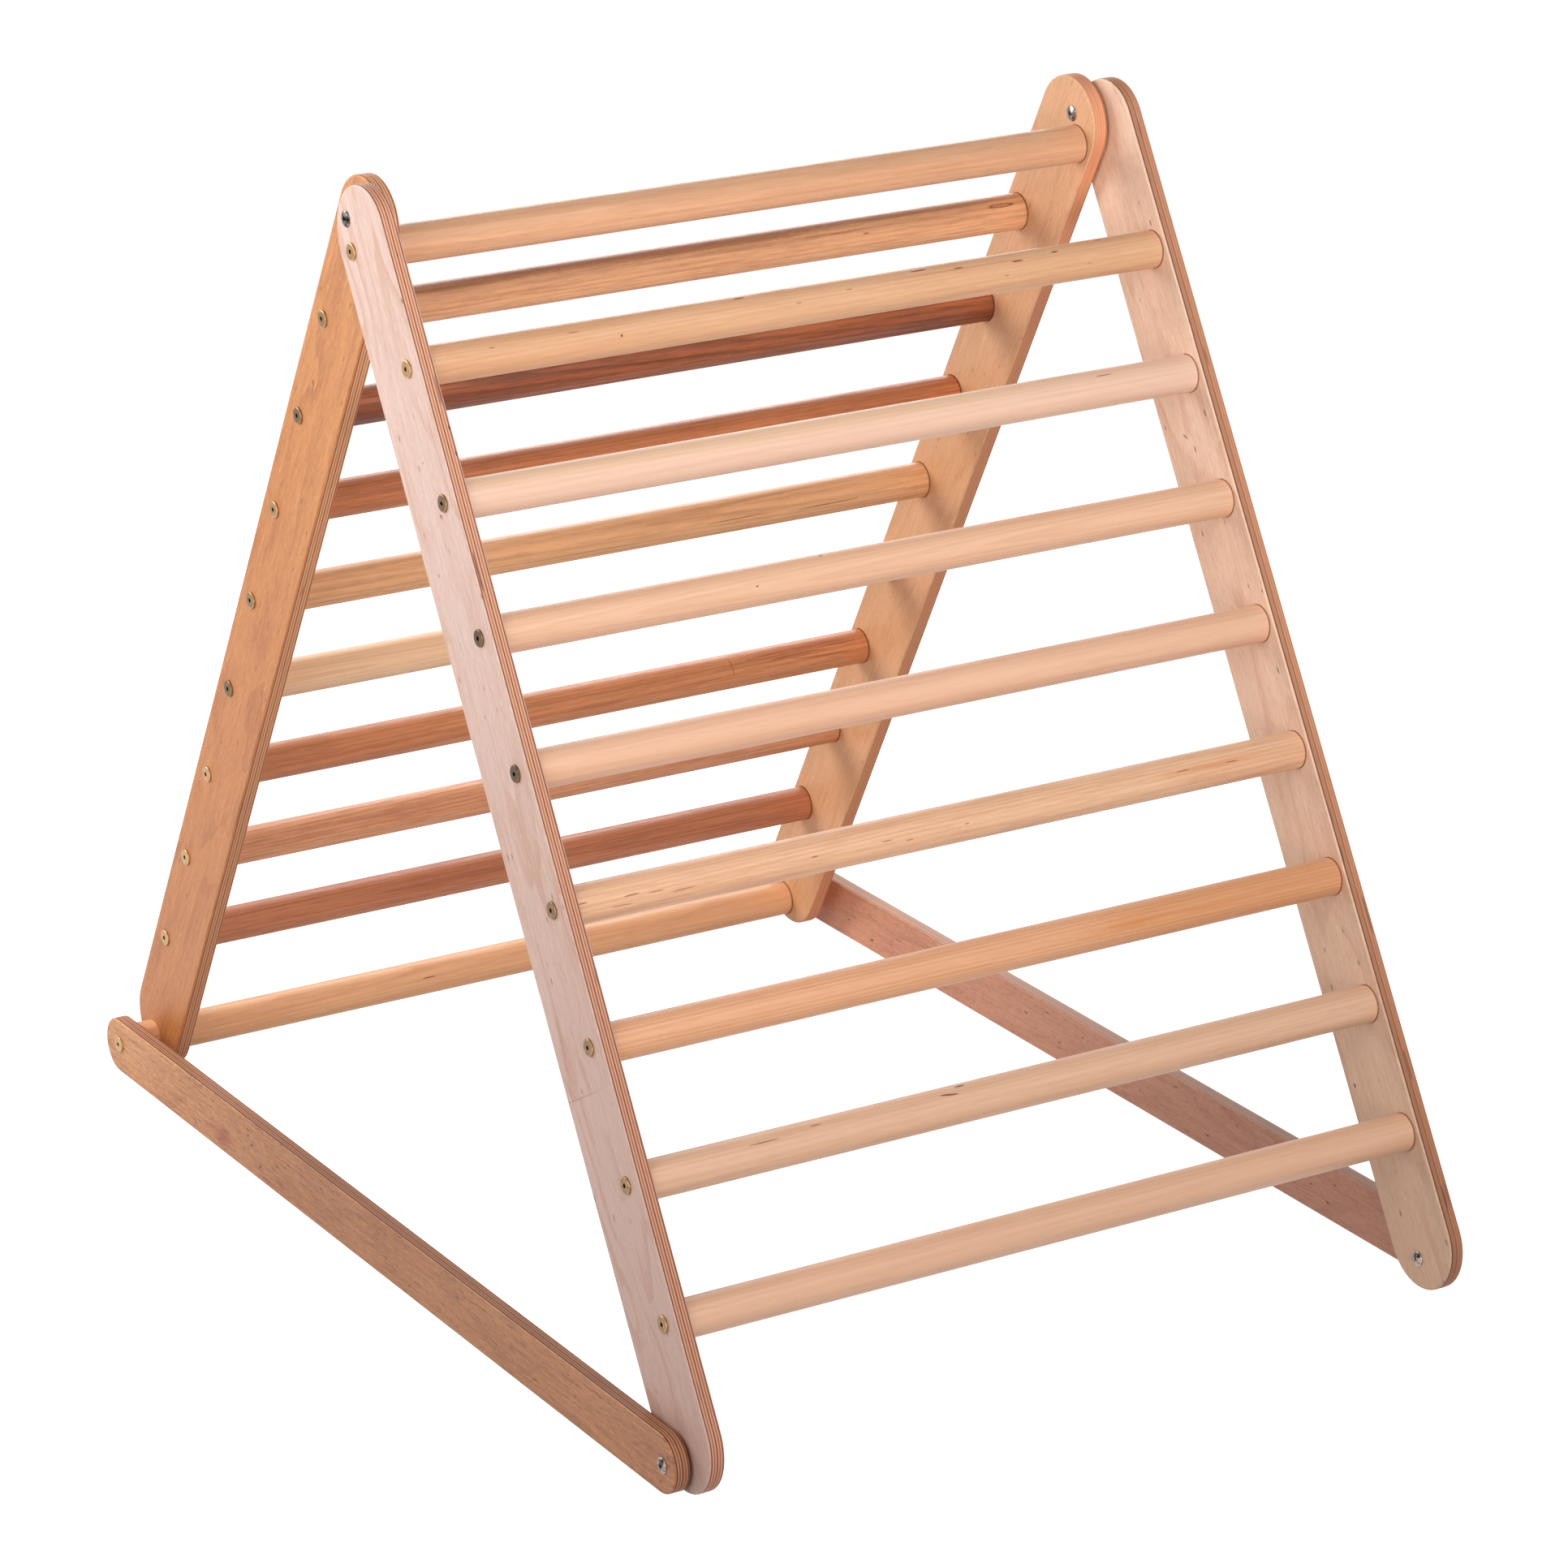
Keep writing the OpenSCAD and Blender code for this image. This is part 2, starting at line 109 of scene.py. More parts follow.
# tone: main colour; second: the other side of the broad bands; vein: ring lines and streaks.
# heart: the tree's heart beside the rung (back, up) in mm; lean: its drift in mm per metre.
# DASH and other kinds of mark: (along mm, degrees up from straight ahead, length mm, width mm,
# depth, and a turn in degrees where there is one)
RUNG_FINISHES = {
    "top_rung": dict(
        tone=(0.90, 0.69, 0.54), second=(0.97, 0.75, 0.58), vein=(0.70, 0.46, 0.29), bands=0.6, rings=0.25,
        streaks=0.3, heart=(60, -40), lean=(6, 10),
        FLAME=[(190, 8, 420, 7, 0.5)],
    ),
    "bottom_rung": dict(
        tone=(0.98, 0.76, 0.57), second=(0.95, 0.67, 0.48), vein=(0.74, 0.47, 0.31), bands=0.4, rings=0.3,
        streaks=0.3, heart=(30, -60), lean=(10, 30),
        DASH=[(-73, 19, 16, 1.4, 0.91)],
    ),
    "front_rung_1": dict(
        tone=(0.91, 0.71, 0.55), second=(0.89, 0.65, 0.47), vein=(0.73, 0.46, 0.27), bands=0.4, rings=0.25,
        streaks=0.25, heart=(50, 60), lean=(12, 8),
        DASH=[
            (-67, 76, 14, 2.7, 1), (119, 71, 22, 2.2, 1), (159, 56, 13, 1.6, 1), (221, 47, 14, 1.9, 1),
            (263, 59, 9, 2.2, 1), (315, 84, 8, 2.2, 0.65, 6), (42, 42, 9, 1.2, 0.65),
            (-12, 26, 8, 1.2, 0.65, 5), (-238, 46, 14, 1.2, 0.65), (-318, 39, 6, 1.2, 0.78),
            (206, 9, 8, 1.2, 0.52), (296, 6, 7, 1.2, 0.39), (-192, 14, 2.6, 3, 1),
        ],
        FLAME=[(160, 52, 260, 5, 0.6)],
    ),
    "front_rung_2": dict(
        tone=(0.95, 0.79, 0.69), second=(0.95, 0.80, 0.65), vein=(0.79, 0.58, 0.44), bands=0.15, rings=0.2,
        streaks=0.15, heart=(80, 40), lean=(4, 5),
        DASH=[(278, 59, 20, 1.4, 0.78)],
        BAND=[(-120, 62, 900, 26, 0.6)],
    ),
    "front_rung_3": dict(
        tone=(0.94, 0.75, 0.62), second=(0.90, 0.70, 0.56), vein=(0.77, 0.54, 0.39), bands=0.35,
        rings=0.25, streaks=0.2, heart=(-30, 6), lean=(22, 10),
        DASH=[(-128, 19, 3, 1.6, 0.91), (-55, 84, 5, 3.5, 0.78)],
    ),
    "front_rung_4": dict(
        tone=(0.93, 0.74, 0.62), second=(0.90, 0.69, 0.55), vein=(0.77, 0.54, 0.40), bands=0.35,
        rings=0.25, streaks=0.2, heart=(60, -20), lean=(5, 6),
    ),
    "front_rung_5": dict(
        tone=(0.93, 0.76, 0.62), second=(0.90, 0.68, 0.53), vein=(0.72, 0.46, 0.31), bands=0.45,
        rings=0.35, streaks=0.35, heart=(40, 50), lean=(8, 14),
        DASH=[
            (-373, 24, 12, 1.6, 0.78), (-325, 19, 20, 1.4, 0.78, 2), (-301, 14, 18, 1.2, 0.65),
            (-335, -5, 24, 1.2, 0.65, -2), (-276, 4, 26, 1.2, 0.65, 2), (-144, 15, 8, 1.4, 0.78),
            (-70, 15, 14, 1.2, 0.65), (-47, 4, 10, 1.2, 0.65), (12, 15, 6, 1.2, 0.65),
            (243, 32, 16, 1.2, 0.78), (296, 29, 18, 1.2, 0.78),
        ],
        FLAME=[(270, 30, 180, 9, 0.7)],
        BAND=[(330, 10, 260, 34, 0.6)],
    ),
    "front_rung_6": dict(
        tone=(0.90, 0.69, 0.54), second=(0.84, 0.59, 0.40), vein=(0.70, 0.42, 0.25), bands=0.3, rings=0.4,
        streaks=0.25, heart=(-19, 9), lean=(4, 0),
        FLAME=[(150, 22, 110, 9, 1.0), (136, 22, 30, 5, 1.0), (230, 16, 90, 6, 0.6)],
        BAND=[(260, 20, 460, 60, 0.8)],
    ),
    "front_rung_7": dict(
        tone=(0.86, 0.69, 0.57), second=(0.83, 0.66, 0.53), vein=(0.70, 0.50, 0.36), bands=0.3, rings=0.25,
        streaks=0.25, heart=(50, 20), lean=(6, 2),
        DASH=[
            (-263, 53, 36, 1.2, 1), (-211, 68, 14, 1.4, 0.78), (-77, 60, 22, 2.2, 1, -8),
            (-62, 85, 12, 3, 1),
        ],
    ),
    "front_rung_8": dict(
        tone=(0.85, 0.67, 0.55), second=(0.82, 0.64, 0.51), vein=(0.71, 0.50, 0.37), bands=0.3, rings=0.2,
        streaks=0.2, heart=(70, 10), lean=(3, 5),
    ),
    "rear_rung_1": dict(
        tone=(1.00, 0.77, 0.58), second=(0.75, 0.43, 0.27), vein=(0.59, 0.32, 0.20), bands=0.0, rings=0.3,
        streaks=0.4, heart=(10, -34), lean=(-4, 3),
        SLIT=[(331, 42, 34, 5, 1.0)],
        DASH=[(180, 20, 9, 1.4, 0.78)],
        BAND=[
            (-50, 84, 820, 30, 0.78), (10, 56, 320, 11, 0.6), (-230, 54, 200, 8, 0.5),
            (240, 68, 340, 10, 0.6), (150, 34, 120, 3, 0.4),
        ],
    ),
    "rear_rung_2": dict(
        tone=(0.73, 0.42, 0.25), second=(0.49, 0.24, 0.16), vein=(0.29, 0.14, 0.10), bands=0.8, rings=0.6,
        streaks=0.6, heart=(26, -24), lean=(14, -10),
        DASH=[(275, -9, 7, 4.5, 1)],
    ),
    "rear_rung_3": dict(
        tone=(0.87, 0.55, 0.35), second=(0.75, 0.43, 0.27), vein=(0.53, 0.28, 0.17), bands=0.6, rings=0.35,
        streaks=0.5, heart=(30, 40), lean=(5, 8),
    ),
    "rear_rung_4": dict(
        tone=(0.97, 0.74, 0.54), second=(0.91, 0.65, 0.46), vein=(0.63, 0.40, 0.25), bands=0.5, rings=0.35,
        streaks=0.35, heart=(40, -30), lean=(6, -8),
        DASH=[(140, 0, 80, 1.4, 0.65, 1), (240, -6, 90, 1.6, 0.65, 1)],
    ),
    "rear_rung_5": dict(
        tone=(1.00, 0.85, 0.69), second=(1.00, 0.81, 0.63), vein=(0.92, 0.57, 0.41), bands=0.35,
        rings=0.35, streaks=0.2, heart=(-24, 4), lean=(-16, 4),
    ),
    "rear_rung_6": dict(
        tone=(0.90, 0.60, 0.40), second=(0.78, 0.47, 0.30), vein=(0.53, 0.28, 0.19), bands=0.6, rings=0.35,
        streaks=0.45, heart=(34, 30), lean=(8, 6),
        DASH=[
            (272, 34, 70, 1.8, 0.55, 2), (306, 14, 80, 2.2, 0.5, -2), (236, 50, 56, 1.5, 0.5, 3),
            (328, 44, 40, 1.4, 0.5, 1), (199, 34, 2.2, 24, 0.4, 4),
        ],
        BAND=[(280, 60, 170, 12, 0.7)],
    ),
    "rear_rung_7": dict(
        tone=(0.98, 0.71, 0.53), second=(0.87, 0.57, 0.41), vein=(0.59, 0.33, 0.22), bands=0.6, rings=0.4,
        streaks=0.45, heart=(-20, -24), lean=(4, 14),
    ),
    "rear_rung_8": dict(
        tone=(0.86, 0.55, 0.38), second=(0.72, 0.43, 0.29), vein=(0.47, 0.23, 0.17), bands=0.6, rings=0.4,
        streaks=0.4, heart=(-22, 8), lean=(10, 2),
    ),
}

# tone, second: the face veneer and its broad bands; vein: its figure lines;
# ply, core: the light and dark layers of the edge; the tint of the foot is painted shade that darkens the
# far end, full at the second place of fade; side: the face that shows the marks.
# DASH and other kinds of mark: (along mm, across mm, length mm, width mm, depth, and a turn)
BOARD_FINISHES = {
    "front_rail_left": dict(
        tone=(0.93, 0.80, 0.75), second=(0.91, 0.77, 0.71), vein=(0.83, 0.62, 0.51),
        ply=(1.00, 0.74, 0.59), core=(0.48, 0.24, 0.17), figure=0.55, fibre=0.6, flecks=0.7, joint=-757,
        layers=(1.1, 1.1), foot=(0.80, 0.77, 0.76), fade=(60, -1130), side="OUTER",
        FLAME=[(-738, -22, 56, 14, 0.25, 12), (-700, 4, 80, 12, 0.22, -6), (-744, 14, 40, 12, 0.22, 20)],
        DASH=[
            (-757, 0, 1.5, 98, 0.35), (-249, -34, 6, 3.4, 0.8, 30), (-293, -1, 4, 2.7, 0.6, 10),
            (-199, -27, 4, 2, 0.5, 40), (-423, -42, 6, 1.6, 0.5, 10), (-356, -6, 5, 1.6, 0.4),
            (-640, -8, 8, 1.6, 0.4, 12),
        ],
        GAP=[
            (-309, 11.5, 50, 1.5, 0.85), (-181, 2.4, 6, 1.6, 1.0), (-204, 2.4, 6, 1.6, 1.0),
            (-26, 7, 8, 1.2, 0.5),
        ],
    ),
    "front_rail_right": dict(
        tone=(0.95, 0.81, 0.71), second=(0.93, 0.77, 0.66), vein=(0.81, 0.58, 0.46),
        ply=(0.88, 0.61, 0.46), core=(0.34, 0.17, 0.12), figure=0.4, fibre=0.6, flecks=0.8,
        layers=(0.75, 0.25), foot=(0.79, 0.76, 0.73), fade=(-430, -1150), side="INNER",
        GAP=[
            (-560, 2.6, 2400, 2.2, 0.5), (-560, 6.6, 2400, 1.6, 0.35), (-705, 3.0, 24, 1.4, 0.85),
            (-1027, 8.2, 24, 1.4, 0.85),
        ],
        DASH=[
            (-292, -13, 9, 2.7, 0.7, 40), (-454, -64, 5, 2.7, 0.6), (-907, 10, 5, 4, 0.9),
            (-1100, -40, 4, 2.7, 0.5),
        ],
    ),
    "rear_rail_left": dict(
        tone=(0.85, 0.58, 0.35), second=(0.81, 0.53, 0.30), vein=(0.63, 0.35, 0.18),
        ply=(1.00, 0.77, 0.57), core=(0.60, 0.28, 0.19), figure=0.45, fibre=0.6, flecks=0.5,
        foot=(0.90, 0.86, 0.84), fade=(0, -1000), side="OUTER",
        DASH=[
            (-190, 35, 8, 4, 0.7, 20), (-196, 33, 22, 1.9, 0.5, 8), (-330, -14, 6, 2.2, 0.6, 5),
            (-128, -2, 8, 1.9, 0.5, -8), (-470, 8, 18, 1.4, 0.4, 3), (-560, 24, 14, 1.4, 0.4, 3),
        ],
    ),
    "rear_rail_right": dict(
        tone=(0.90, 0.69, 0.53), second=(0.87, 0.66, 0.48), vein=(0.75, 0.48, 0.30),
        ply=(0.97, 0.67, 0.50), core=(0.56, 0.30, 0.21), figure=0.2, fibre=0.5, flecks=0.3,
        layers=(0.35, 0.35), foot=(1.00, 0.98, 0.95), fade=(0, -1000), side="INNER",
        GAP=[(-520, 13.6, 2400, 1.8, 0.45)],
        DASH=[(-300, 10, 5, 2.7, 0.4, 10)],
    ),
    "floor_bar_left": dict(
        tone=(0.82, 0.58, 0.39), second=(0.76, 0.51, 0.32), vein=(0.55, 0.31, 0.17),
        ply=(0.86, 0.61, 0.46), core=(0.28, 0.15, 0.11), figure=0.25, fibre=1.0, flecks=0.7,
        layers=(0.8, 1.3), foot=(0.81, 0.76, 0.70), fade=(560, 60), side="OUTER",
        GAP=[(0, 13.4, 2600, 1.3, 0.55)],
        FLAME=[(314, -17, 60, 32, 1.0, 10), (338, -19, 44, 9, 0.9, 8), (190, -13, 36, 12, 0.8, -10)],
        DASH=[
            (314, -16, 9, 8, 0.7, 20), (320, -12, 18, 5, 0.6, 20), (306, -24, 14, 4, 0.55, -10),
            (250, -31, 7, 4, 0.8, 20), (258, -38, 6, 2.7, 0.7, 10), (233, -15, 8, 3.6, 0.8, 30),
            (188, -14, 6, 3, 0.5, -10), (376, -10, 14, 4, 0.4, -20), (-40, -14, 6, 1.6, 0.4),
        ],
    ),
    "floor_bar_right": dict(
        tone=(0.93, 0.67, 0.54), second=(0.89, 0.62, 0.49), vein=(0.67, 0.41, 0.30),
        ply=(0.98, 0.81, 0.71), core=(0.64, 0.42, 0.35), figure=0.25, fibre=0.8, flecks=0.8,
        layers=(0.8, 0.6), foot=(0.76, 0.75, 0.76), fade=(480, -300), side="INNER",
        DASH=[
            (432, -13, 8, 3.5, 0.9, 12), (435, -39, 12, 1.6, 0.6, -12), (101, -45, 10, 1.9, 0.8),
            (79, -21, 6, 2.2, 0.8, 20), (38, -40, 4, 2.7, 0.7), (-123, -45, 10, 1.6, 0.7, 5),
            (-344, -26, 6, 2.2, 0.7, 15), (-63, -20, 5, 1.9, 0.7, 30), (380, -30, 14, 1.4, 0.5, -10),
            (300, -24, 14, 1.2, 0.5, -5),
        ],
    ),
}

# How dark each brass head is, from pale (0) to dark (1), from the top down; partly patina and partly
# painted reflection, darker where a head mirrors the dark room
PATINA_AND_REFLECTION = {
    "front": (0.0, 0.65, 0.9, 0.95, 0.65, 0.55, 0.55, 0.5),
    "rear": (0.35, 0.6, 0.2, 0.5, 0.8, 0.12, 0.08, 0.12),
    "top": (0.15,),
    "bottom": (0.1,),
}

# Colours that all rungs or all boards share
RUNG_DASH = (0.50, 0.24, 0.11)
RUNG_FLAME = (0.80, 0.50, 0.28)
# Colour of the painted shadow ring where a rung enters its rail
RUNG_SEAM_SHADOW = (0.30, 0.15, 0.09)
BOARD_FLAME = (0.66, 0.35, 0.19)
LAYER_GAP = (0.24, 0.12, 0.08)
UNTINTED = (1, 1, 1)


def shaded(colour, *amounts):
    """A colour multiplied by one amount, or by one for each of red, green and blue."""
    if len(amounts) == 1:
        amounts *= 3
    return tuple(min(1.0, c * amount) for c, amount in zip(colour, amounts))


# ---- properties ----------------------------------------------------------------------------


def metres(name, description, default, least=0.0):
    return FloatProperty(name=name, description=description, unit="LENGTH", default=default, min=least)


def share(name, description, default):
    return FloatProperty(name=name, description=description, subtype="FACTOR", default=default, min=0, max=1)


def watts(name, description, default):
    return FloatProperty(name=name, description=description, unit="POWER", default=default, min=0)


def hue(name, description, default):
    return FloatVectorProperty(
        name=name, description=description, subtype="COLOR_GAMMA", default=default, min=0, max=1
    )


def pair(name, description, default, unit="NONE"):
    return FloatVectorProperty(name=name, description=description, size=2, default=default, unit=unit)


class GrainMark(bpy.types.PropertyGroup):
    """One mark in the grain, or in the layers of a board's edge"""

    kind: EnumProperty(
        name="Kind",
        description="What the mark is",
        items=(
            ("DASH", "Dash", "A dark fleck or small knot"),
            ("SLIT", "Slit", "A knot with a dark rim"),
            ("FLAME", "Flame", "A warm streak"),
            ("BAND", "Band", "A stretch of the second tone"),
            ("GAP", "Gap", "A dark patch in one layer of a board's edge"),
        ),
    )
    along: metres("Along", "Place along the grain", 0, least=-2)
    across: metres("Across", "Place across the grain", 0, least=-2)
    length: metres("Length", "Length along the grain", 0.01)
    width: metres("Width", "Width across the grain", 0.001)
    turn: FloatProperty(name="Turn", description="Turn from the grain", unit="ROTATION", default=0)
    depth: share("Depth", "Strength of its colour", 0.7)


class RungFinish(bpy.types.PropertyGroup):
    """Colours and grain of one rung"""

    tone: hue("Tone", "Main colour", (0.9, 0.74, 0.6))
    second: hue("Second Tone", "Colour of the broad bands", (0.87, 0.68, 0.52))
    vein: hue("Vein", "Colour of the ring lines and streaks", (0.7, 0.48, 0.32))
    bands: share("Bands", "Strength of the broad bands", 0.4)
    rings: share("Rings", "Strength of the ring lines", 0.3)
    streaks: share("Streaks", "Strength of the fine streaks", 0.25)
    heart: pair("Heart", "The tree's heart beside the rung, back and up", (0.05, 0.02), "LENGTH")
    lean: pair("Heart Lean", "Drift of the heart per unit of length, back and up", (0.01, 0.01))
    seed: IntProperty(name="Seed", description="Picks the pattern", default=1)
    marks: CollectionProperty(type=GrainMark, name="Marks", description="Marks in the grain")


class BoardFinish(bpy.types.PropertyGroup):
    """Colours and grain of one plywood board"""

    tone: hue("Tone", "Main colour of the face", (0.9, 0.75, 0.62))
    second: hue("Second Tone", "Colour of the broad bands", (0.86, 0.7, 0.57))
    vein: hue("Vein", "Colour of the figure lines", (0.74, 0.55, 0.42))
    ply: hue("Light Ply", "Layers that run along the edge", (0.85, 0.64, 0.5))
    core: hue("Dark Ply", "Layers that end in the edge", (0.52, 0.31, 0.22))
    # Painted shade: the far end of the board is multiplied darker, as less light reaches it.
    foot: hue("Foot Tint", "What the colours are multiplied by at the far end", (1, 1, 1))
    fade: pair(
        "Fade", "Where the foot tint starts and where it is full, along the grain", (0, -1), "LENGTH"
    )
    layers: pair("Layers", "How clear the dark layers are near the inner and outer face", (1, 1))
    figure: share("Figure", "Strength of the figure lines", 0.4)
    fibre: share("Fibre", "Strength of the short fibre dashes", 0.3)
    flecks: share("Flecks", "Strength of the small flecks", 0.4)
    joint: metres("Joint", "Where two sheets of veneer meet; 0 for none", 0, least=-2)
    seed: IntProperty(name="Seed", description="Picks the pattern", default=21)
    side: EnumProperty(
        name="Side",
        description="Face of the board that shows the marks",
        items=(("OUTER", "Outer", "Away from the middle"), ("INNER", "Inner", "Towards the middle")),
    )
    marks: CollectionProperty(type=GrainMark, name="Marks", description="Marks in the grain and the edge")


class PlywoodSizes(bpy.types.PropertyGroup):
    """Make-up of the plywood"""

    plies: IntProperty(name="Plies", description="Layers through the thickness", default=11, min=3)
    roughness: share("Roughness", "Roughness of the oiled face", 0.5)
    relief: metres("Relief", "Depth of the grain", 0.00012)


class DowelSizes(bpy.types.PropertyGroup):
    """Grain of the round rungs"""

    ring_width: metres("Ring Width", "Width of a year ring", 0.0036, 0.0005)
    waver: metres("Waver", "How far the rings wander", 0.003)
    roughness: share("Roughness", "Roughness of the oiled surface", 0.42)
    relief: metres("Relief", "Depth of the grain", 0.0001)
    # Painted shadow: the dark line where a rung meets its rail
    seam: metres("Seam", "Width of the dark line where a rung meets its rail", 0.0018)


class ConnectorBolt(bpy.types.PropertyGroup):
    """Flat-headed bolt of the rung ends"""

    head_width: metres("Head Width", "Diameter of the head", height_of("top_rung_bolts"), 0.005)
    head_height: metres("Head Height", "Thickness of the head", BOLT_ENDS[1] - FRONT_FACES[1], 0.0005)
    rim_round: metres("Rim Round", "Radius of the rounded rim", 0.0012, 0.0001)
    shank_width: metres("Shank Width", "Diameter of the shank", 0.006, 0.001)
    shank_length: metres(
        "Shank Length", "Length under the head", FRONT_FACES[1] - BOLT_ENDS[0], 0.005
    )
    hexagon: metres("Hexagon", "Socket width across flats", 0.004, 0.001)
    hexagon_depth: metres("Hexagon Depth", "Depth of the socket", 0.0032, 0.0005)
    metal: hue("Brass", "Colour of bright brass", (0.69, 0.545, 0.375))
    # The patina colour is also where heads with a painted darker reflection go
    dark: hue("Patina", "Colour of darkened brass", (0.27, 0.19, 0.125))


class LockBolt(bpy.types.PropertyGroup):
    """Domed screw and sleeve that lock two rails together"""

    head_width: metres("Head Width", "Diameter of the heads", height_of("apex_lock_screws"), 0.005)
    head_height: metres("Head Height", "Height of the heads", LOCK_HEAD_TOP - FRONT_FACES[1], 0.0005)
    rim_height: metres("Rim Height", "Height of the head's edge", 0.0009, 0.0001)
    screw_width: metres("Screw Width", "Diameter of the screw", 0.006, 0.001)
    sleeve_width: metres("Sleeve Width", "Outer diameter of the sleeve", 0.0085, 0.001)
    bore_depth: metres("Bore Depth", "Depth of the sleeve's bore", 0.0117, 0.001)
    shank_length: metres("Shank Length", "Length under the head", 0.0147, 0.005)
    cross_span: metres("Cross Span", "Length of the recess's arms", 0.0056, 0.001)
    cross_width: metres("Cross Width", "Width of the recess's arms", 0.0012, 0.0002)
    cross_depth: metres("Cross Depth", "Depth of the recess", 0.0015, 0.0002)
    # The steel's warm colour is partly painted reflection of the wood around it.
    metal: hue("Steel", "Colour of the plated steel", (0.62, 0.56, 0.53))
    dark: hue("Shade", "Colour of its dull patches", (0.10, 0.085, 0.085))


class StudioSetup(bpy.types.PropertyGroup):
    """Floor, light and camera"""

    floor_radius: metres("Floor Radius", "How far the floor reaches", 40, 1)
    high_front: watts("High Front Lamp", "Power of the high lamp in front", 25)
    low_front: watts("Low Front Lamp", "Power of the low lamp in front", 35)
    left: watts("Left Lamp", "Power of the lamp at the left", 29)
    rear_left: watts("Rear Left Lamp", "Power of the lamp behind at the left", 34)
    rear: watts("Rear Lamp", "Power of the lamp behind at the right", 14.5)
    room: FloatProperty(name="Room", description="Strength of the light from all round", default=0.15, min=0)
    bounce: share("Bounce", "How much light the floor sends back up", 0.38)
    camera_place: FloatVectorProperty(
        name="Camera Place", description="Where the camera stands", subtype="TRANSLATION", unit="LENGTH",
        default=(-2.492996, -4.213926, 2.150218),
    )
    camera_turn: FloatVectorProperty(
        name="Camera Angles", description="Azimuth, elevation and roll", subtype="EULER", unit="ROTATION",
        default=(math.radians(-30.921), math.radians(19.74), math.radians(-0.361)),
    )
    lens: FloatProperty(
        name="Lens", description="Focal length in millimetres on a 36 mm sensor", default=128.759, min=1
    )


class TriangleSettings(bpy.types.PropertyGroup):
    """Everything that a user would change"""

    rungs: CollectionProperty(type=RungFinish, name="Rungs", description="Finish of each rung")
    boards: CollectionProperty(type=BoardFinish, name="Boards", description="Finish of each board")
    dowel: PointerProperty(type=DowelSizes, name="Dowel", description="Grain of the rungs")
    plywood: PointerProperty(type=PlywoodSizes, name="Plywood", description="Make-up of the boards")
    connector: PointerProperty(type=ConnectorBolt, name="Connector Bolt", description="Rung ends' bolts")
    lock: PointerProperty(type=LockBolt, name="Lock Bolt", description="Bolts that lock the frame")
    studio: PointerProperty(type=StudioSetup, name="Studio", description="Floor, light and camera")


# ---- laying out nodes ----------------------------------------------------------------------


def linear(colour):
    """A colour as written, turned into the values that light adds up in."""
    return tuple(c / 12.92 if c <= 0.04045 else ((c + 0.055) / 1.055) ** 2.4 for c in colour) + (1,)


class Bench:
    """Puts nodes in a tree and joins them."""

    def __init__(self, tree):
        self.tree = tree

    def put(self, kind, inputs=None, **settings):
        node = self.tree.nodes.new(kind)
        for key, value in settings.items():
            setattr(node, key, value)
        for key, value in (inputs or {}).items():
            if isinstance(value, bpy.types.NodeSocket):
                self.tree.links.new(value, node.inputs[key])
            else:
                node.inputs[key].default_value = value
        return node

    def out(self, kind, inputs=None, **settings):
        return self.put(kind, inputs, **settings).outputs[0]

    def use(self, name, make, inputs):
        """Outputs of a node group, which is made the first time that it is used."""
        tree = bpy.data.node_groups.get(name) or make(name)
        kind = tree.bl_idname.replace("NodeTree", "NodeGroup")
        return self.put(kind, inputs, node_tree=tree).outputs

    def math(self, operation, *values, clamp=False):
        return self.out("ShaderNodeMath", dict(enumerate(values)), operation=operation, use_clamp=clamp)

    def plus(self, first, second):
        return self.math("ADD", first, second)

    def minus(self, first, second, clamp=False):
        return self.math("SUBTRACT", first, second, clamp=clamp)

    def times(self, first, second, clamp=False):
        return self.math("MULTIPLY", first, second, clamp=clamp)

    def scaled(self, value, factor, start):
        """The value times the factor, added to the start."""
        return self.math("MULTIPLY_ADD", value, factor, start)

    def vector(self, operation, *values):
        node = self.put("ShaderNodeVectorMath", dict(enumerate(values)), operation=operation)
        return node.outputs["Value" if operation == "LENGTH" else "Vector"]

    def parts(self, vector):
        return self.put("ShaderNodeSeparateXYZ", {0: vector}).outputs

    def join(self, x=0.0, y=0.0, z=0.0):
        return self.out("ShaderNodeCombineXYZ", {0: x, 1: y, 2: z})

    def ease(self, value, start, end):
        """0 before start, 1 after end, smooth between; start may be above end."""
        ends = {"Value": value, "From Min": start, "From Max": end}
        return self.out("ShaderNodeMapRange", ends, interpolation_type="SMOOTHSTEP")

    def noise(self, vector, stretch, seed, detail=2.0, rough=0.5):
        moved = self.vector("MULTIPLY", vector, stretch)
        inputs = {"Vector": moved, "W": seed, "Scale": 1.0, "Detail": detail, "Roughness": rough}
        return self.out("ShaderNodeTexNoise", inputs, noise_dimensions="4D")

    def mix(self, amount, first, second, way="MIX"):
        """Blends two colours, of which either may be written down."""
        inputs = {0: amount}
        for key, colour in ((6, first), (7, second)):
            inputs[key] = colour if isinstance(colour, bpy.types.NodeSocket) else linear(colour)
        return self.put("ShaderNodeMix", inputs, data_type="RGBA", blend_type=way).outputs[2]

    def moved(self, geometry, **change):
        inputs = {"Geometry": geometry, **{key.title(): value for key, value in change.items()}}
        return self.out("GeometryNodeTransform", inputs)

    def without(self, geometry, cutter):
        inputs = {0: geometry, 1: cutter}
        return self.out("GeometryNodeMeshBoolean", inputs, operation="DIFFERENCE", solver="EXACT")

    def same(self, first, second):
        """True where two whole numbers are the same."""
        return self.out("FunctionNodeCompare", {2: first, 3: second}, data_type="INT", operation="EQUAL")

    def above(self, value, limit):
        inputs = {0: value, 1: limit}
        return self.out("FunctionNodeCompare", inputs, data_type="FLOAT", operation="GREATER_THAN")


SOCKET_OF_VALUE = {float: "Float", int: "Int", tuple: "Vector"}
SOCKET_OF_RESULT = {"VALUE": "Float", "VECTOR": "Vector", "GEOMETRY": "Geometry"}


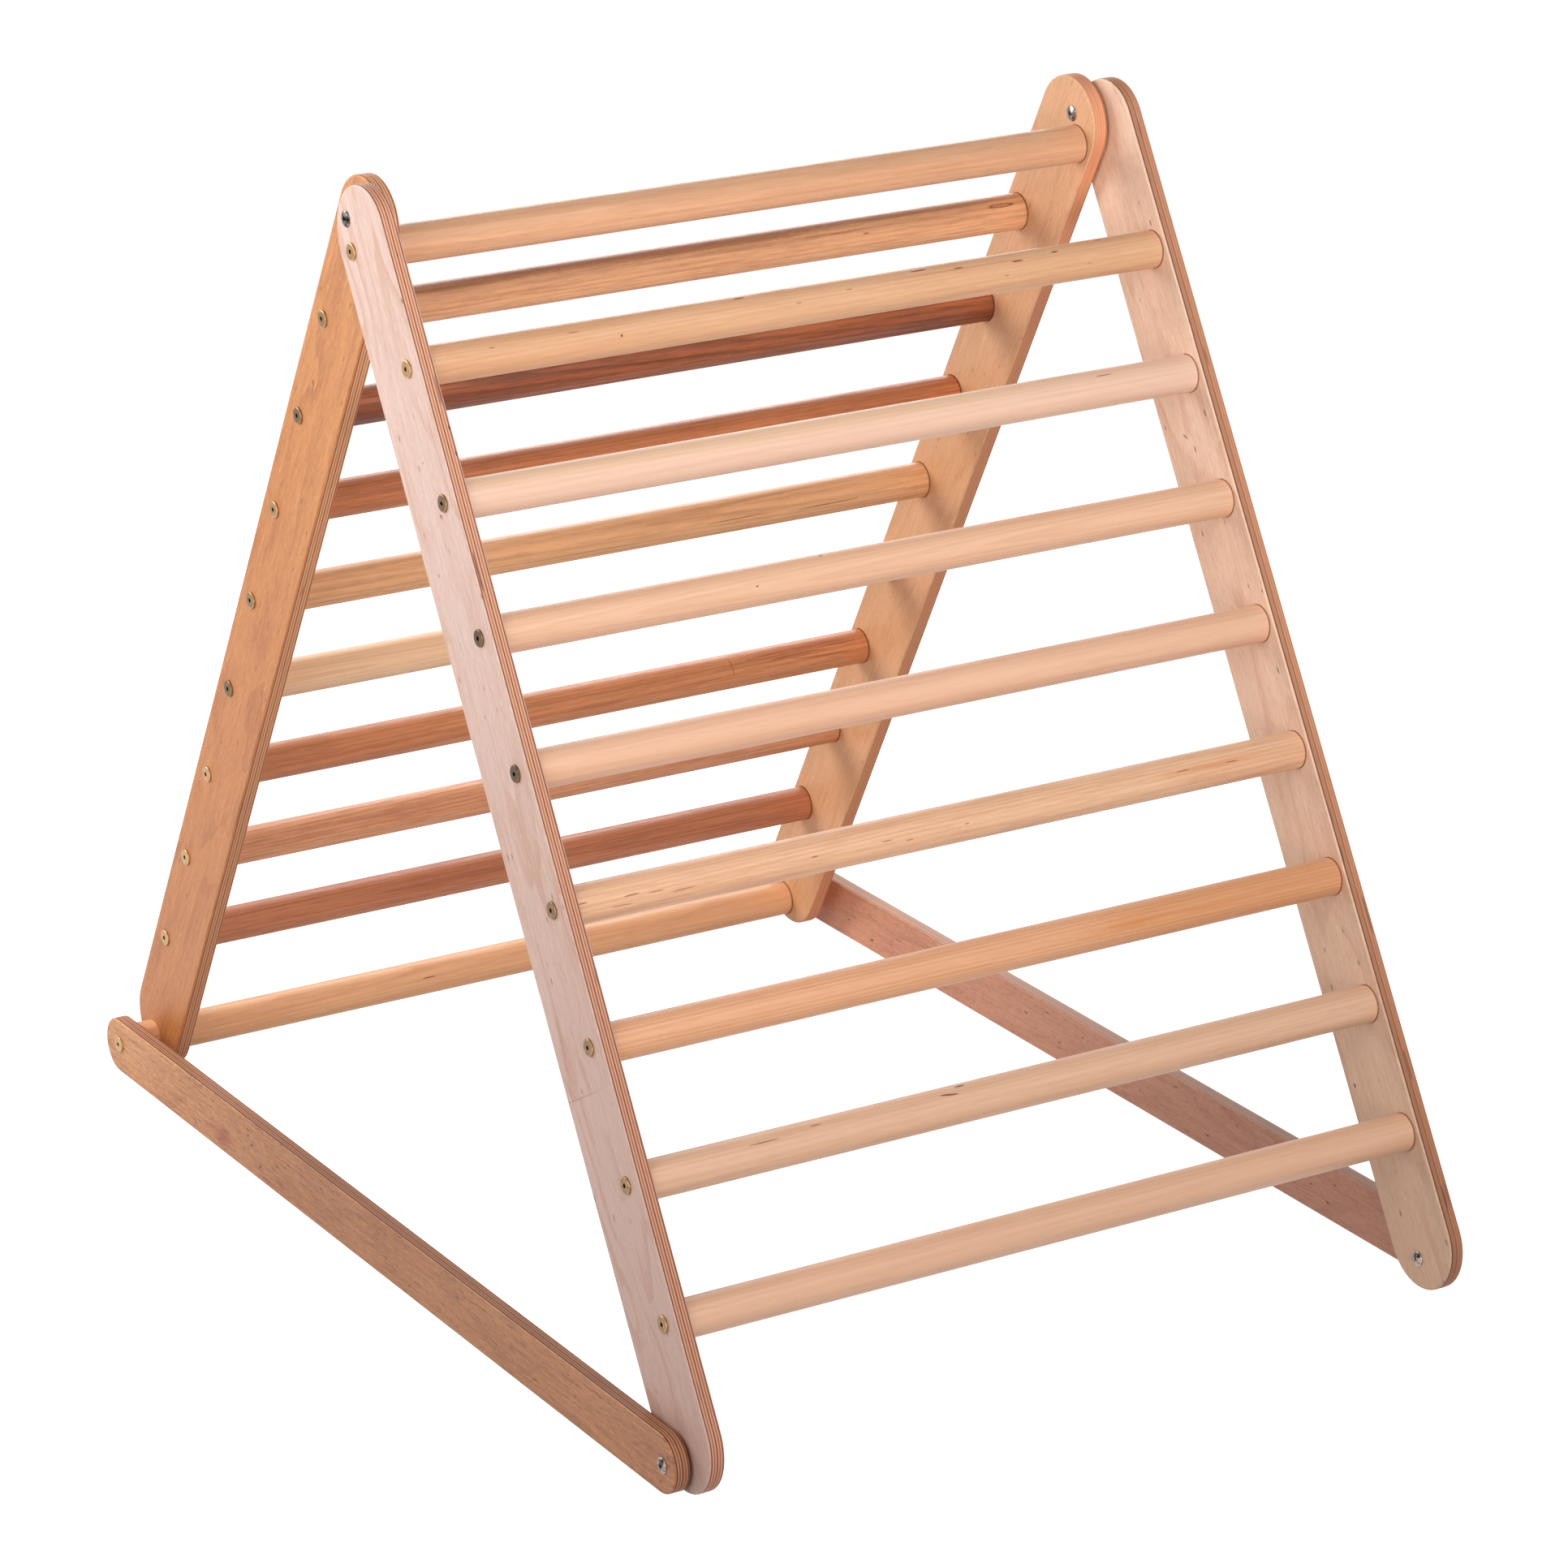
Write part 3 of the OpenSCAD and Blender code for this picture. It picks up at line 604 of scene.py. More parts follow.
def new_group(name, kind, inputs):
    """A node group and its inputs, each given by its default or by the name of its type."""
    tree = bpy.data.node_groups.new(name, kind)
    for label, value in inputs.items():
        typed = SOCKET_OF_VALUE.get(type(value), value)
        socket = tree.interface.new_socket(label, in_out="INPUT", socket_type=f"NodeSocket{typed}")
        if typed != value:
            socket.default_value = value
    bench = Bench(tree)
    return bench, bench.put("NodeGroupInput").outputs


def finish_group(bench, results):
    """Gives the group an output for each result."""
    for label, result in results.items():
        typed = SOCKET_OF_RESULT[result.type]
        bench.tree.interface.new_socket(label, in_out="OUTPUT", socket_type=f"NodeSocket{typed}")
    bench.put("NodeGroupOutput", results)
    return bench.tree


def dowel_figure_group(name):
    """Grain of turned wood: year rings about a heart beside the rung, cut by its surface."""
    bench, given = new_group(
        name, "ShaderNodeTree",
        {
            "Vector": "Vector", "Heart": (0.0, 0.05, 0.02), "Heart Lean": (0.0, 0.01, 0.01),
            "Ring Width": 0.0036, "Waver": 0.003, "Radius": 0.0175, "Seed": 1.0,
        },
    )
    place, seed = given["Vector"], given["Seed"]
    x, y, z = bench.parts(place)
    drift = bench.vector("MULTIPLY", given["Heart Lean"], bench.join(x, x, x))
    from_heart = bench.vector("SUBTRACT", place, bench.vector("ADD", given["Heart"], drift))
    flat = bench.vector("MULTIPLY", from_heart, (0, 1, 1))
    wander = bench.minus(bench.noise(place, (5, 30, 30), seed), 0.5)
    distance = bench.scaled(wander, given["Waver"], bench.vector("LENGTH", flat))
    count = bench.math("DIVIDE", distance, given["Ring Width"])
    phase = bench.math("FRACT", count)
    late_wood = bench.times(bench.ease(phase, 0.35, 0.92), bench.ease(phase, 1.0, 0.93))
    ring = bench.plus(bench.math("FLOOR", count), seed)
    year = bench.out("ShaderNodeTexWhiteNoise", {"W": ring}, noise_dimensions="1D")
    broad = bench.noise(place, (9, 240, 240), seed, 3.0, 0.62)
    fine = bench.noise(place, (45, 700, 700), seed, 2.0, 0.65)
    angle = bench.math("ARCTAN2", z, bench.times(y, -1.0))
    results = {
        "Rings": bench.times(late_wood, bench.scaled(year, 0.7, 0.3)),
        "Streaks": bench.ease(bench.scaled(fine, 0.4, bench.times(broad, 0.6)), 0.4, 0.66),
        "Ticks": bench.ease(bench.noise(place, (170, 1300, 1300), seed, 1.0), 0.64, 0.74),
        "Bands": bench.ease(bench.noise(place, (1.3, 26, 26), seed), 0.36, 0.64),
        "Wrap": bench.join(y=bench.times(angle, given["Radius"]), z=x),
    }
    return finish_group(bench, results)


def veneer_figure_group(name):
    """Figure of a peeled veneer: wandering contour lines, short fibre dashes, pith flecks."""
    bench, given = new_group(
        name, "ShaderNodeTree", {"Vector": "Vector", "Swirl": 8.0, "Rows": 16.0, "Seed": 1.0}
    )
    place, seed = given["Vector"], given["Seed"]
    hill = bench.noise(place, (0, 13, 3.4), seed, 2.0, 0.45)
    slope = bench.times(bench.parts(place)[1], given["Rows"])
    phase = bench.math("FRACT", bench.scaled(hill, given["Swirl"], slope))
    line = bench.times(bench.ease(phase, 0.45, 0.93), bench.ease(phase, 1.0, 0.95))
    patchy = bench.ease(bench.noise(place, (0, 18, 6), bench.plus(seed, 3.0), 1.0), 0.36, 0.6)
    dashes = bench.noise(place, (0, 760, 95), seed, 3.0, 0.85)
    long = bench.noise(place, (0, 420, 16), seed, 2.0, 0.6)
    grain = bench.scaled(long, 0.35, bench.times(dashes, 0.65))
    scatter = bench.vector("ADD", bench.vector("MULTIPLY", place, (0, 95, 34)), bench.join(y=seed))
    cell = bench.put("ShaderNodeTexVoronoi", {"Vector": scatter, "Scale": 1.0}, feature="F1").outputs
    size = bench.times(bench.ease(bench.parts(cell["Color"])[0], 0.80, 1.0), 0.16)
    broad = bench.noise(place, (0, 9, 3), bench.plus(seed, 7.0))
    cloud = bench.noise(place, (0, 60, 18), bench.plus(seed, 9.0), 3.0, 0.6)
    results = {
        "Lines": bench.times(line, patchy),
        "Fibre": bench.ease(grain, 0.50, 0.64),
        "Pale Fibre": bench.ease(grain, 0.49, 0.35),
        "Flecks": bench.ease(cell["Distance"], size, bench.times(size, 0.4)),
        "Bands": bench.ease(bench.scaled(cloud, 0.35, bench.times(broad, 0.65)), 0.36, 0.64),
    }
    return finish_group(bench, results)


def ply_edge_group(name):
    """Edge of plywood: light and dark layers by depth, each with its own run of tone."""
    bench, given = new_group(
        name, "ShaderNodeTree",
        {
            "Vector": "Vector", "Depth": 0.0, "Plies": 11.0, "Inner Strength": 1.0,
            "Outer Strength": 1.0, "Seed": 1.0,
        },
    )
    place, seed = given["Vector"], given["Seed"]
    waver = bench.minus(bench.noise(place, (0, 26, 14), seed), 0.5)
    layers = bench.times(given["Depth"], given["Plies"])
    layer = bench.scaled(waver, 0.35, layers)
    wave = bench.math("SINE", bench.times(layer, -math.pi))
    every_other = bench.math("GREATER_THAN", bench.math("FLOORED_MODULO", layer, 4.0), 2.0)
    change = bench.minus(given["Outer Strength"], given["Inner Strength"])
    strength = bench.scaled(change, given["Depth"], given["Inner Strength"])
    weight = bench.times(bench.scaled(every_other, -0.35, 1.0), strength)
    first = bench.ease(layers, 0.9, 1.1)
    last = bench.ease(bench.minus(given["Plies"], layers), 0.9, 1.1)
    own = bench.scaled(bench.math("FLOOR", layer), 5.7, seed)
    results = {
        "Inside": bench.times(first, last),
        "Dark": bench.times(bench.ease(wave, -0.1, 0.45), weight, clamp=True),
        "Tone": bench.noise(place, (0, 40, 24), own, 3.0, 0.6),
        "Patch": bench.ease(bench.noise(place, (0, 6, 14), own, 0.0), 0.76, 0.8),
    }
    return finish_group(bench, results)


def grain_mark_group(name):
    """One soft, ragged ellipse, added to the marks that came before it."""
    bench, given = new_group(
        name, "ShaderNodeTree",
        {
            "Others": 0.0, "Vector": "Vector", "Place": (0.0, 0.0, 0.0), "Size": (0.01, 0.001, 0.01),
            "Turn": 0.0, "Hollow": 0.0, "Strength": 1.0, "Softness": 0.4,
        },
    )
    offset = bench.vector("SUBTRACT", given["Vector"], given["Place"])
    spin = {"Vector": offset, "Angle": given["Turn"]}
    turned = bench.out("ShaderNodeVectorRotate", spin, rotation_type="X_AXIS")
    shape = bench.vector("LENGTH", bench.vector("DIVIDE", turned, given["Size"]))
    ragged = bench.minus(bench.noise(given["Vector"], (300, 900, 130), 1.0), 0.5)
    reach = bench.scaled(ragged, 0.7, shape)
    solid = bench.ease(reach, 1.0, bench.minus(1.0, given["Softness"]))
    hole = bench.times(bench.ease(reach, 0.75, 0.45), given["Hollow"])
    own = bench.times(bench.minus(solid, hole, clamp=True), given["Strength"])
    return finish_group(bench, {"Mask": bench.math("MAXIMUM", given["Others"], own)})


def new_material(name):
    material = bpy.data.materials.new(name)
    material.use_nodes = True
    material.node_tree.nodes.clear()
    return material, Bench(material.node_tree)


def finish_material(bench, surface):
    bench.put("ShaderNodeOutputMaterial", {"Surface": surface})


# ---- wood ----------------------------------------------------------------------------------

OILED_IOR = 1.45
RELIEF_STRENGTH = 0.5
MARK_SOFTNESS = {"FLAME": 1.0, "BAND": 0.6, "DASH": 0.35, "SLIT": 0.35, "GAP": 0.35}
SLIT_HOLLOW = 0.8
RUNG_MARK_DEPTH = 1.0
RUNG_FLAME_STRENGTH = 0.75
SEAM_SHADOW_STRENGTH = 0.7
TICKS_PER_STREAK, LEAST_TICKS = 0.35, 0.1
STREAK_ROUGHNESS, EDGE_ROUGHNESS = 0.1, 0.15
PLY_TONE_STRENGTH = 0.9
BOARD_MARK_DEPTH = 0.006
PATCH_STRENGTH = 0.6
OUTER_SEED_STEP = 13.7
JOINT_SEED_STEP = 5.3
PALE_SHADE, FLECK_SHADE = 1.14, 0.62
KNOT_SHADES = (0.64, 0.5, 0.42)
PLY_SHADE, PATCH_SHADE = 0.84, 0.6
PLY_IN_CORE = 0.18


def marked(bench, colour, marks, kinds, tint, vector, place_of, depth, amount=1.0):
    """The colour with the marks of some kinds laid over it."""
    chosen = [mark for mark in marks if mark.kind in kinds]
    if not chosen:
        return colour
    mask = 0.0
    for mark in chosen:
        size = (depth, mark.width / 2, mark.length / 2)
        if mark.kind == "GAP":
            size = (mark.width / 2, 1.0, mark.length / 2)
        mask = bench.use(
            "Grain Mark", grain_mark_group,
            {
                "Others": mask, "Vector": vector, "Place": place_of(mark), "Size": size,
                "Turn": mark.turn, "Hollow": SLIT_HOLLOW if mark.kind == "SLIT" else 0.0,
                "Strength": mark.depth, "Softness": MARK_SOFTNESS[mark.kind],
            },
        )["Mask"]
    return bench.mix(bench.times(mask, amount), colour, tint)


def oiled_wood(bench, colour, roughness, height, relief):
    """The surface of bare wood under a thin coat of oil."""
    bump = bench.out("ShaderNodeBump", {"Strength": RELIEF_STRENGTH, "Distance": relief, "Height": height})
    inputs = {"Base Color": colour, "Roughness": roughness, "Normal": bump, "IOR": OILED_IOR}
    finish_material(bench, bench.out("ShaderNodeBsdfPrincipled", inputs))


def dowel_material(name, finish, centre, dowel, rail_face):
    material, bench = new_material(f"{name} wood")
    place = bench.put("ShaderNodeTexCoord").outputs["Object"]
    figure = bench.use(
        "Dowel Figure", dowel_figure_group,
        {
            "Vector": bench.out("ShaderNodeMapping", {"Vector": place, "Location": -centre}),
            "Heart": (0, *finish.heart), "Heart Lean": (0, *finish.lean), "Radius": RUNG_RADIUS,
            "Ring Width": dowel.ring_width, "Waver": dowel.waver, "Seed": float(finish.seed),
        },
    )
    spots = (figure["Wrap"], lambda mark: (0, mark.across, mark.along), RUNG_MARK_DEPTH)
    colour = bench.mix(bench.times(figure["Bands"], finish.bands), finish.tone, finish.second)
    colour = marked(bench, colour, finish.marks, ("BAND",), finish.second, *spots)
    for layer, strength in (
        ("Rings", finish.rings),
        ("Streaks", finish.streaks),
        ("Ticks", TICKS_PER_STREAK * finish.streaks + LEAST_TICKS),
    ):
        colour = bench.mix(bench.times(figure[layer], strength), colour, finish.vein)
    colour = marked(bench, colour, finish.marks, ("FLAME",), RUNG_FLAME, *spots, RUNG_FLAME_STRENGTH)
    colour = marked(bench, colour, finish.marks, ("DASH", "SLIT"), RUNG_DASH, *spots)
    # Painted shadow: a dark ring on the rung where it enters its rail, over the gap's own shadow
    off_face = bench.math("ABSOLUTE", bench.minus(bench.math("ABSOLUTE", bench.parts(place)[0]), rail_face))
    seam = bench.ease(off_face, dowel.seam, 0.5 * dowel.seam)
    colour = bench.mix(bench.times(seam, SEAM_SHADOW_STRENGTH), colour, RUNG_SEAM_SHADOW)
    height = bench.scaled(figure["Ticks"], -0.5, bench.times(figure["Streaks"], -0.5))
    roughness = bench.scaled(figure["Streaks"], STREAK_ROUGHNESS, dowel.roughness)
    oiled_wood(bench, colour, roughness, height, dowel.relief)
    return material


def board_material(name, finish, turn, origin, faces, plywood):
    """Plywood: the mapped place has the grain along Z, the width along Y and the depth along X."""
    material, bench = new_material(f"{name} plywood")
    place = bench.put("ShaderNodeTexCoord").outputs["Object"]
    start = Matrix.Rotation(turn, 3, "X") @ origin
    mapping = {"Vector": place, "Location": -start, "Rotation": (turn, 0, 0)}
    mapped = bench.out("ShaderNodeMapping", mapping)
    seed = float(finish.seed)
    x, across, along = bench.parts(mapped)
    distance = bench.math("ABSOLUTE", x)
    ends = {"Value": distance, "From Min": faces[0], "From Max": faces[1]}
    depth = bench.out("ShaderNodeMapRange", ends)
    outer = bench.math("GREATER_THAN", depth, 0.5)
    past_joint = bench.math("LESS_THAN", along, finish.joint) if finish.joint < 0 else 0.0
    face_seed = bench.scaled(past_joint, JOINT_SEED_STEP, bench.scaled(outer, OUTER_SEED_STEP, seed))
    figure = bench.use("Veneer Figure", veneer_figure_group, {"Vector": mapped, "Seed": face_seed})
    edge = bench.use(
        "Ply Edge", ply_edge_group,
        {
            "Vector": mapped, "Depth": depth, "Plies": float(plywood.plies), "Seed": seed,
            "Inner Strength": finish.layers[0], "Outer Strength": finish.layers[1],
        },
    )

    # The face: bands, figure lines, fibre and flecks, then the marks
    face = bench.mix(figure["Bands"], finish.tone, finish.second)
    for layer, strength, colour in (
        ("Lines", finish.figure, finish.vein),
        ("Fibre", finish.fibre, finish.vein),
        ("Pale Fibre", finish.fibre, shaded(finish.tone, PALE_SHADE)),
        ("Flecks", finish.flecks, shaded(finish.vein, FLECK_SHADE)),
    ):
        face = bench.mix(bench.times(figure[layer], strength), face, colour)
    sided = bench.join(distance, across, along)
    marked_face = faces[1] if finish.side == "OUTER" else faces[0]
    spots = (sided, lambda mark: (marked_face, mark.across, mark.along), BOARD_MARK_DEPTH)
    knot = shaded(finish.vein, *KNOT_SHADES)
    face = marked(bench, face, finish.marks, ("DASH", "SLIT"), knot, *spots)
    face = marked(bench, face, finish.marks, ("FLAME",), BOARD_FLAME, *spots)

    # The edge: light and dark layers, each with a change of tone and a few dark patches
    light = bench.mix(bench.times(edge["Tone"], PLY_TONE_STRENGTH), finish.ply, shaded(finish.ply, PLY_SHADE))
    paler_core = tuple(c + PLY_IN_CORE * (p - c) for c, p in zip(finish.core, finish.ply))
    layers = bench.mix(edge["Dark"], light, bench.mix(edge["Tone"], finish.core, paler_core))
    layers = bench.mix(bench.times(edge["Patch"], PATCH_STRENGTH), layers, shaded(finish.core, PATCH_SHADE))
    spots = (sided, lambda mark: (faces[0] + mark.across, 0, mark.along), BOARD_MARK_DEPTH)
    layers = marked(bench, layers, finish.marks, ("GAP",), LAYER_GAP, *spots)

    # Painted shade: the colours darken towards the far end of the board.
    tint = bench.mix(bench.ease(along, *finish.fade), UNTINTED, finish.foot)
    colour = bench.mix(1.0, bench.mix(edge["Inside"], face, layers), tint, "MULTIPLY")
    groove = bench.times(edge["Inside"], edge["Dark"])
    height = bench.scaled(groove, -1.0, bench.times(figure["Fibre"], -0.5))
    roughness = bench.scaled(edge["Inside"], EDGE_ROUGHNESS, plywood.roughness)
    oiled_wood(bench, colour, roughness, height, plywood.relief)
    return material


def dress(node, material):
    """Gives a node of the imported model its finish."""
    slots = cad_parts[node].data.materials
    slots.clear()
    slots.append(material)


# ---- metal ---------------------------------------------------------------------------------

ZINC = (0.80, 0.78, 0.72)
DULL_ZINC = (0.55, 0.53, 0.48)
RIM_LIGHTENING = 0.3
SCRATCH_ROUGHNESS = 0.12


def metal_wear_group(name):
    """Tarnish in clouds and fine turning marks."""
    bench, given = new_group(name, "ShaderNodeTree", {"Vector": "Vector", "Seed": 1.0})
    place, seed = given["Vector"], given["Seed"]
    results = {
        "Tarnish": bench.ease(bench.noise(place, (260, 260, 260), seed, 3.0, 0.6), 0.38, 0.66),
        "Scratches": bench.ease(bench.noise(place, (900, 2600, 2600), seed, 2.0, 0.6), 0.45, 0.6),
    }
    return finish_group(bench, results)


def metal_material(name, bright, dark, tarnish, roughness, by_head=False):
    """Metal that goes dark in clouds, and on bolt heads by each head's darkness (partly patina, partly
    painted reflection) and less at the rim.
    """
    material, bench = new_material(name)
    place = bench.put("ShaderNodeTexCoord").outputs["Object"]
    wear = bench.use("Metal Wear", metal_wear_group, {"Vector": place, "Seed": 5.0})
    amount = bench.times(wear["Tarnish"], tarnish)
    if by_head:
        # Each head's darkness: partly patina, partly painted reflection of the dark room
        darkness = bench.put("ShaderNodeAttribute", attribute_name="patina").outputs["Fac"]
        reach = bench.put("ShaderNodeAttribute", attribute_name="reach").outputs["Fac"]
        # Paler towards the rim of each head.
        lighter_rim = bench.times(bench.ease(reach, 0.78, 0.97), RIM_LIGHTENING)
        amount = bench.minus(bench.plus(amount, darkness), lighter_rim, clamp=True)
    rough = bench.scaled(wear["Scratches"], SCRATCH_ROUGHNESS, roughness)
    inputs = {"Base Color": bench.mix(amount, bright, dark), "Roughness": rough, "Metallic": 1.0}
    finish_material(bench, bench.out("ShaderNodeBsdfPrincipled", inputs))
    return material


# ---- bolts ---------------------------------------------------------------------------------

RIM_CORNER = 5
ROUNDING_STEPS = 5
TOP_CUTS = 9.0
TOP_SHARE_OF_RIM = 0.3
LATHE_HUB = 0.00005
MERGE_DISTANCE = 0.000004
SMALLEST_BORE = 0.0001
BORE_SIDES = 48
LOCK_TIP_CHAMFER = 0.0003
SHARP_ANGLE = math.radians(35)
SPIN_SEED = 7


def turned_blank_group(name):
    """Head and shank turned in one profile about Z; the head's underside is at Z = 0."""
    bench, given = new_group(
        name, "GeometryNodeTree",
        {
            "Head Radius": 0.008, "Rim Height": 0.002, "Dome Rise": 0.0, "Rim Round": 0.001,
            "Shank Radius": 0.003, "Shank Length": 0.04, "Tip Chamfer": 0.0008, "Sides": 64,
        },
    )
    head, rim, shank = given["Head Radius"], given["Rim Height"], given["Shank Radius"]
    tip = bench.times(given["Shank Length"], -1.0)
    above_tip = bench.plus(tip, given["Tip Chamfer"])
    narrowed = bench.minus(shank, given["Tip Chamfer"])
    corners = (
        (0.0, tip), (narrowed, tip), (shank, above_tip), (shank, 0.0), (head, 0.0), (head, rim), (0.0, rim)
    )
    index = bench.out("GeometryNodeInputIndex")
    pick = bench.put("GeometryNodeIndexSwitch", {0: index}, data_type="VECTOR")
    while len(pick.index_switch_items) < len(corners):
        pick.index_switch_items.new()
    for item, corner in enumerate(corners):
        bench.tree.links.new(bench.join(*corner), pick.inputs[1 + item])
    line = bench.out("GeometryNodeMeshLine", {"Count": len(corners)}, mode="OFFSET")
    bent = bench.out("GeometryNodeSetPosition", {"Geometry": line, "Position": pick.outputs[0]})
    profile = bench.out("GeometryNodeMeshToCurve", {0: bent})

    # The rim's corner is rounded, and the top is cut finely enough to be raised to a dome
    rounding = {
        "Curve": profile, "Radius": bench.times(bench.same(index, RIM_CORNER), given["Rim Round"]),
        "Count": ROUNDING_STEPS, "Limit Radius": True,
    }
    eased = bench.out("GeometryNodeFilletCurve", rounding, mode="POLY")
    points = bench.put("GeometryNodeSplineLength").outputs[1]
    nearly_last = bench.same(index, bench.minus(points, 2.0))
    cuts = bench.times(nearly_last, TOP_CUTS)
    cut = bench.out("GeometryNodeSubdivideCurve", {"Curve": eased, "Cuts": cuts})
    x, y = bench.parts(bench.out("GeometryNodeInputPosition"))[:2]
    outward = bench.math("DIVIDE", x, head)
    lift = bench.times(bench.minus(1.0, bench.times(outward, outward)), given["Dome Rise"])
    on_top = bench.above(y, bench.times(rim, TOP_SHARE_OF_RIM))
    raising = {"Geometry": cut, "Selection": on_top, "Offset": bench.join(y=lift)}
    raised = bench.out("GeometryNodeSetPosition", raising)

    # The profile is swept about a very small hub, whose points then become one
    shifted = bench.moved(raised, translation=(-LATHE_HUB, 0, 0))
    hub = {"Resolution": given["Sides"], "Radius": LATHE_HUB}
    circle = bench.out("GeometryNodeCurvePrimitiveCircle", hub)
    lathe = bench.out("GeometryNodeCurveToMesh", {"Curve": circle, "Profile Curve": shifted})
    merged = bench.out("GeometryNodeMergeByDistance", {"Geometry": lathe, "Distance": MERGE_DISTANCE})
    return finish_group(bench, {"Mesh": bench.moved(merged, rotation=(math.pi, 0, 0))})


def set_in_place(bench, given, bare, radius):
    """Sets a bolt at every point along its facing direction, each with its own turn."""
    x, y = bench.parts(bench.out("GeometryNodeInputPosition"))[:2]
    reach = bench.math("DIVIDE", bench.vector("LENGTH", bench.join(x, y)), radius)
    stored = {"Geometry": bare, "Name": "reach", "Value": reach}
    bolt = bench.out("GeometryNodeStoreNamedAttribute", stored, data_type="FLOAT", domain="POINT")
    facing = bench.out("GeometryNodeInputNamedAttribute", {"Name": "facing"}, data_type="FLOAT_VECTOR")
    aimed = bench.out("FunctionNodeAlignRotationToVector", {"Vector": facing}, axis="Z")
    draw = bench.put("FunctionNodeRandomValue", {2: 0.0, 3: math.tau, "Seed": SPIN_SEED}, data_type="FLOAT")
    spin = bench.out("FunctionNodeAxisAngleToRotation", {"Axis": (0, 0, 1), "Angle": draw.outputs[1]})
    turned = bench.out("FunctionNodeRotateRotation", {0: aimed, 1: spin}, rotation_space="LOCAL")
    placing = {"Points": given["Geometry"], "Instance": bolt, "Rotation": turned}
    copies = bench.out("GeometryNodeInstanceOnPoints", placing)
    real = bench.out("GeometryNodeRealizeInstances", {0: copies})
    coat = {"Geometry": real, "Material": given["Material"]}
    return finish_group(bench, {"Geometry": bench.out("GeometryNodeSetMaterial", coat)})


def new_bolt_tree(name, values):
    """A tree with an input for each size of a bolt."""
    inputs = {"Geometry": "Geometry", **values, "Material": "Material"}
    return new_group(name, "GeometryNodeTree", inputs)


def connector_bolt_tree(values):
    bench, given = new_bolt_tree("Connector Bolts", values)
    head = bench.times(given["Head Width"], 0.5)
    blank = bench.use(
        "Turned Blank", turned_blank_group,
        {
            "Head Radius": head, "Rim Height": given["Head Height"], "Rim Round": given["Rim Round"],
            "Shank Radius": bench.times(given["Shank Width"], 0.5), "Shank Length": given["Shank Length"],
        },
    )["Mesh"]
    corner = bench.math("DIVIDE", given["Hexagon"], math.sqrt(3))
    hexagon = {"Vertices": 6, "Radius": corner, "Depth": bench.times(given["Hexagon Depth"], 2.0)}
    socket = bench.moved(
        bench.out("GeometryNodeMeshCylinder", hexagon), translation=bench.join(z=given["Head Height"])
    )
    return set_in_place(bench, given, bench.without(blank, socket), head)


def lock_bolt_tree(values):
    bench, given = new_bolt_tree("Lock Bolts", values)
    head = bench.times(given["Head Width"], 0.5)
    rim = given["Rim Height"]
    blank = bench.use(
        "Turned Blank", turned_blank_group,
        {
            "Head Radius": head, "Rim Height": rim, "Dome Rise": bench.minus(given["Head Height"], rim),
            "Rim Round": bench.times(rim, 0.5), "Shank Radius": bench.times(given["Shank Width"], 0.5),
            "Shank Length": given["Shank Length"], "Tip Chamfer": LOCK_TIP_CHAMFER,
        },
    )["Mesh"]
    span, width = given["Cross Span"], given["Cross Width"]
    depth = bench.times(given["Cross Depth"], 2.0)
    recess = bench.put("GeometryNodeMeshBoolean", operation="UNION", solver="EXACT")
    for size in ((span, width, depth), (width, span, depth)):
        arm = bench.out("GeometryNodeMeshCube", {"Size": bench.join(*size)})
        bench.tree.links.new(arm, recess.inputs[1])
    cross = bench.moved(recess.outputs[0], translation=bench.join(z=given["Head Height"]))
    screw = bench.without(blank, cross)
    bore = {
        "Vertices": BORE_SIDES, "Radius": bench.times(given["Bore Width"], 0.5),
        "Depth": bench.times(given["Bore Depth"], 2.0),
    }
    tip = bench.join(z=bench.times(given["Shank Length"], -1.0))
    sleeve = bench.without(screw, bench.moved(bench.out("GeometryNodeMeshCylinder", bore), translation=tip))
    choice = {"Switch": bench.above(given["Bore Depth"], SMALLEST_BORE), "False": screw, "True": sleeve}
    bolt = bench.out("GeometryNodeSwitch", choice, input_type="GEOMETRY")
    return set_in_place(bench, given, bolt, head)


def both_sides(node, face, darkness, inwards=False):
    """Seat, facing and darkness of a bolt and its twin; the face is a distance from the middle plane."""
    seat = middle(node)
    for side in (-1, 1):
        yield Vector((side * face, seat.y, seat.z)), Vector((-side if inwards else side, 0, 0)), darkness


def place_in_scene(name, data):
    piece = bpy.data.objects.new(name, data)
    bpy.context.scene.collection.objects.link(piece)
    return piece


def seat_points(name, seats):
    """A mesh of bare points that carry where a bolt faces and how dark it is."""
    mesh = bpy.data.meshes.new(name)
    mesh.from_pydata([seat for seat, facing, darkness in seats], [], [])
    mesh.attributes.new("facing", "FLOAT_VECTOR", "POINT")
    mesh.attributes.new("patina", "FLOAT", "POINT")
    for index, (seat, facing, darkness) in enumerate(seats):
        mesh.attributes["facing"].data[index].vector = facing
        mesh.attributes["patina"].data[index].value = darkness
    return place_in_scene(name, mesh)


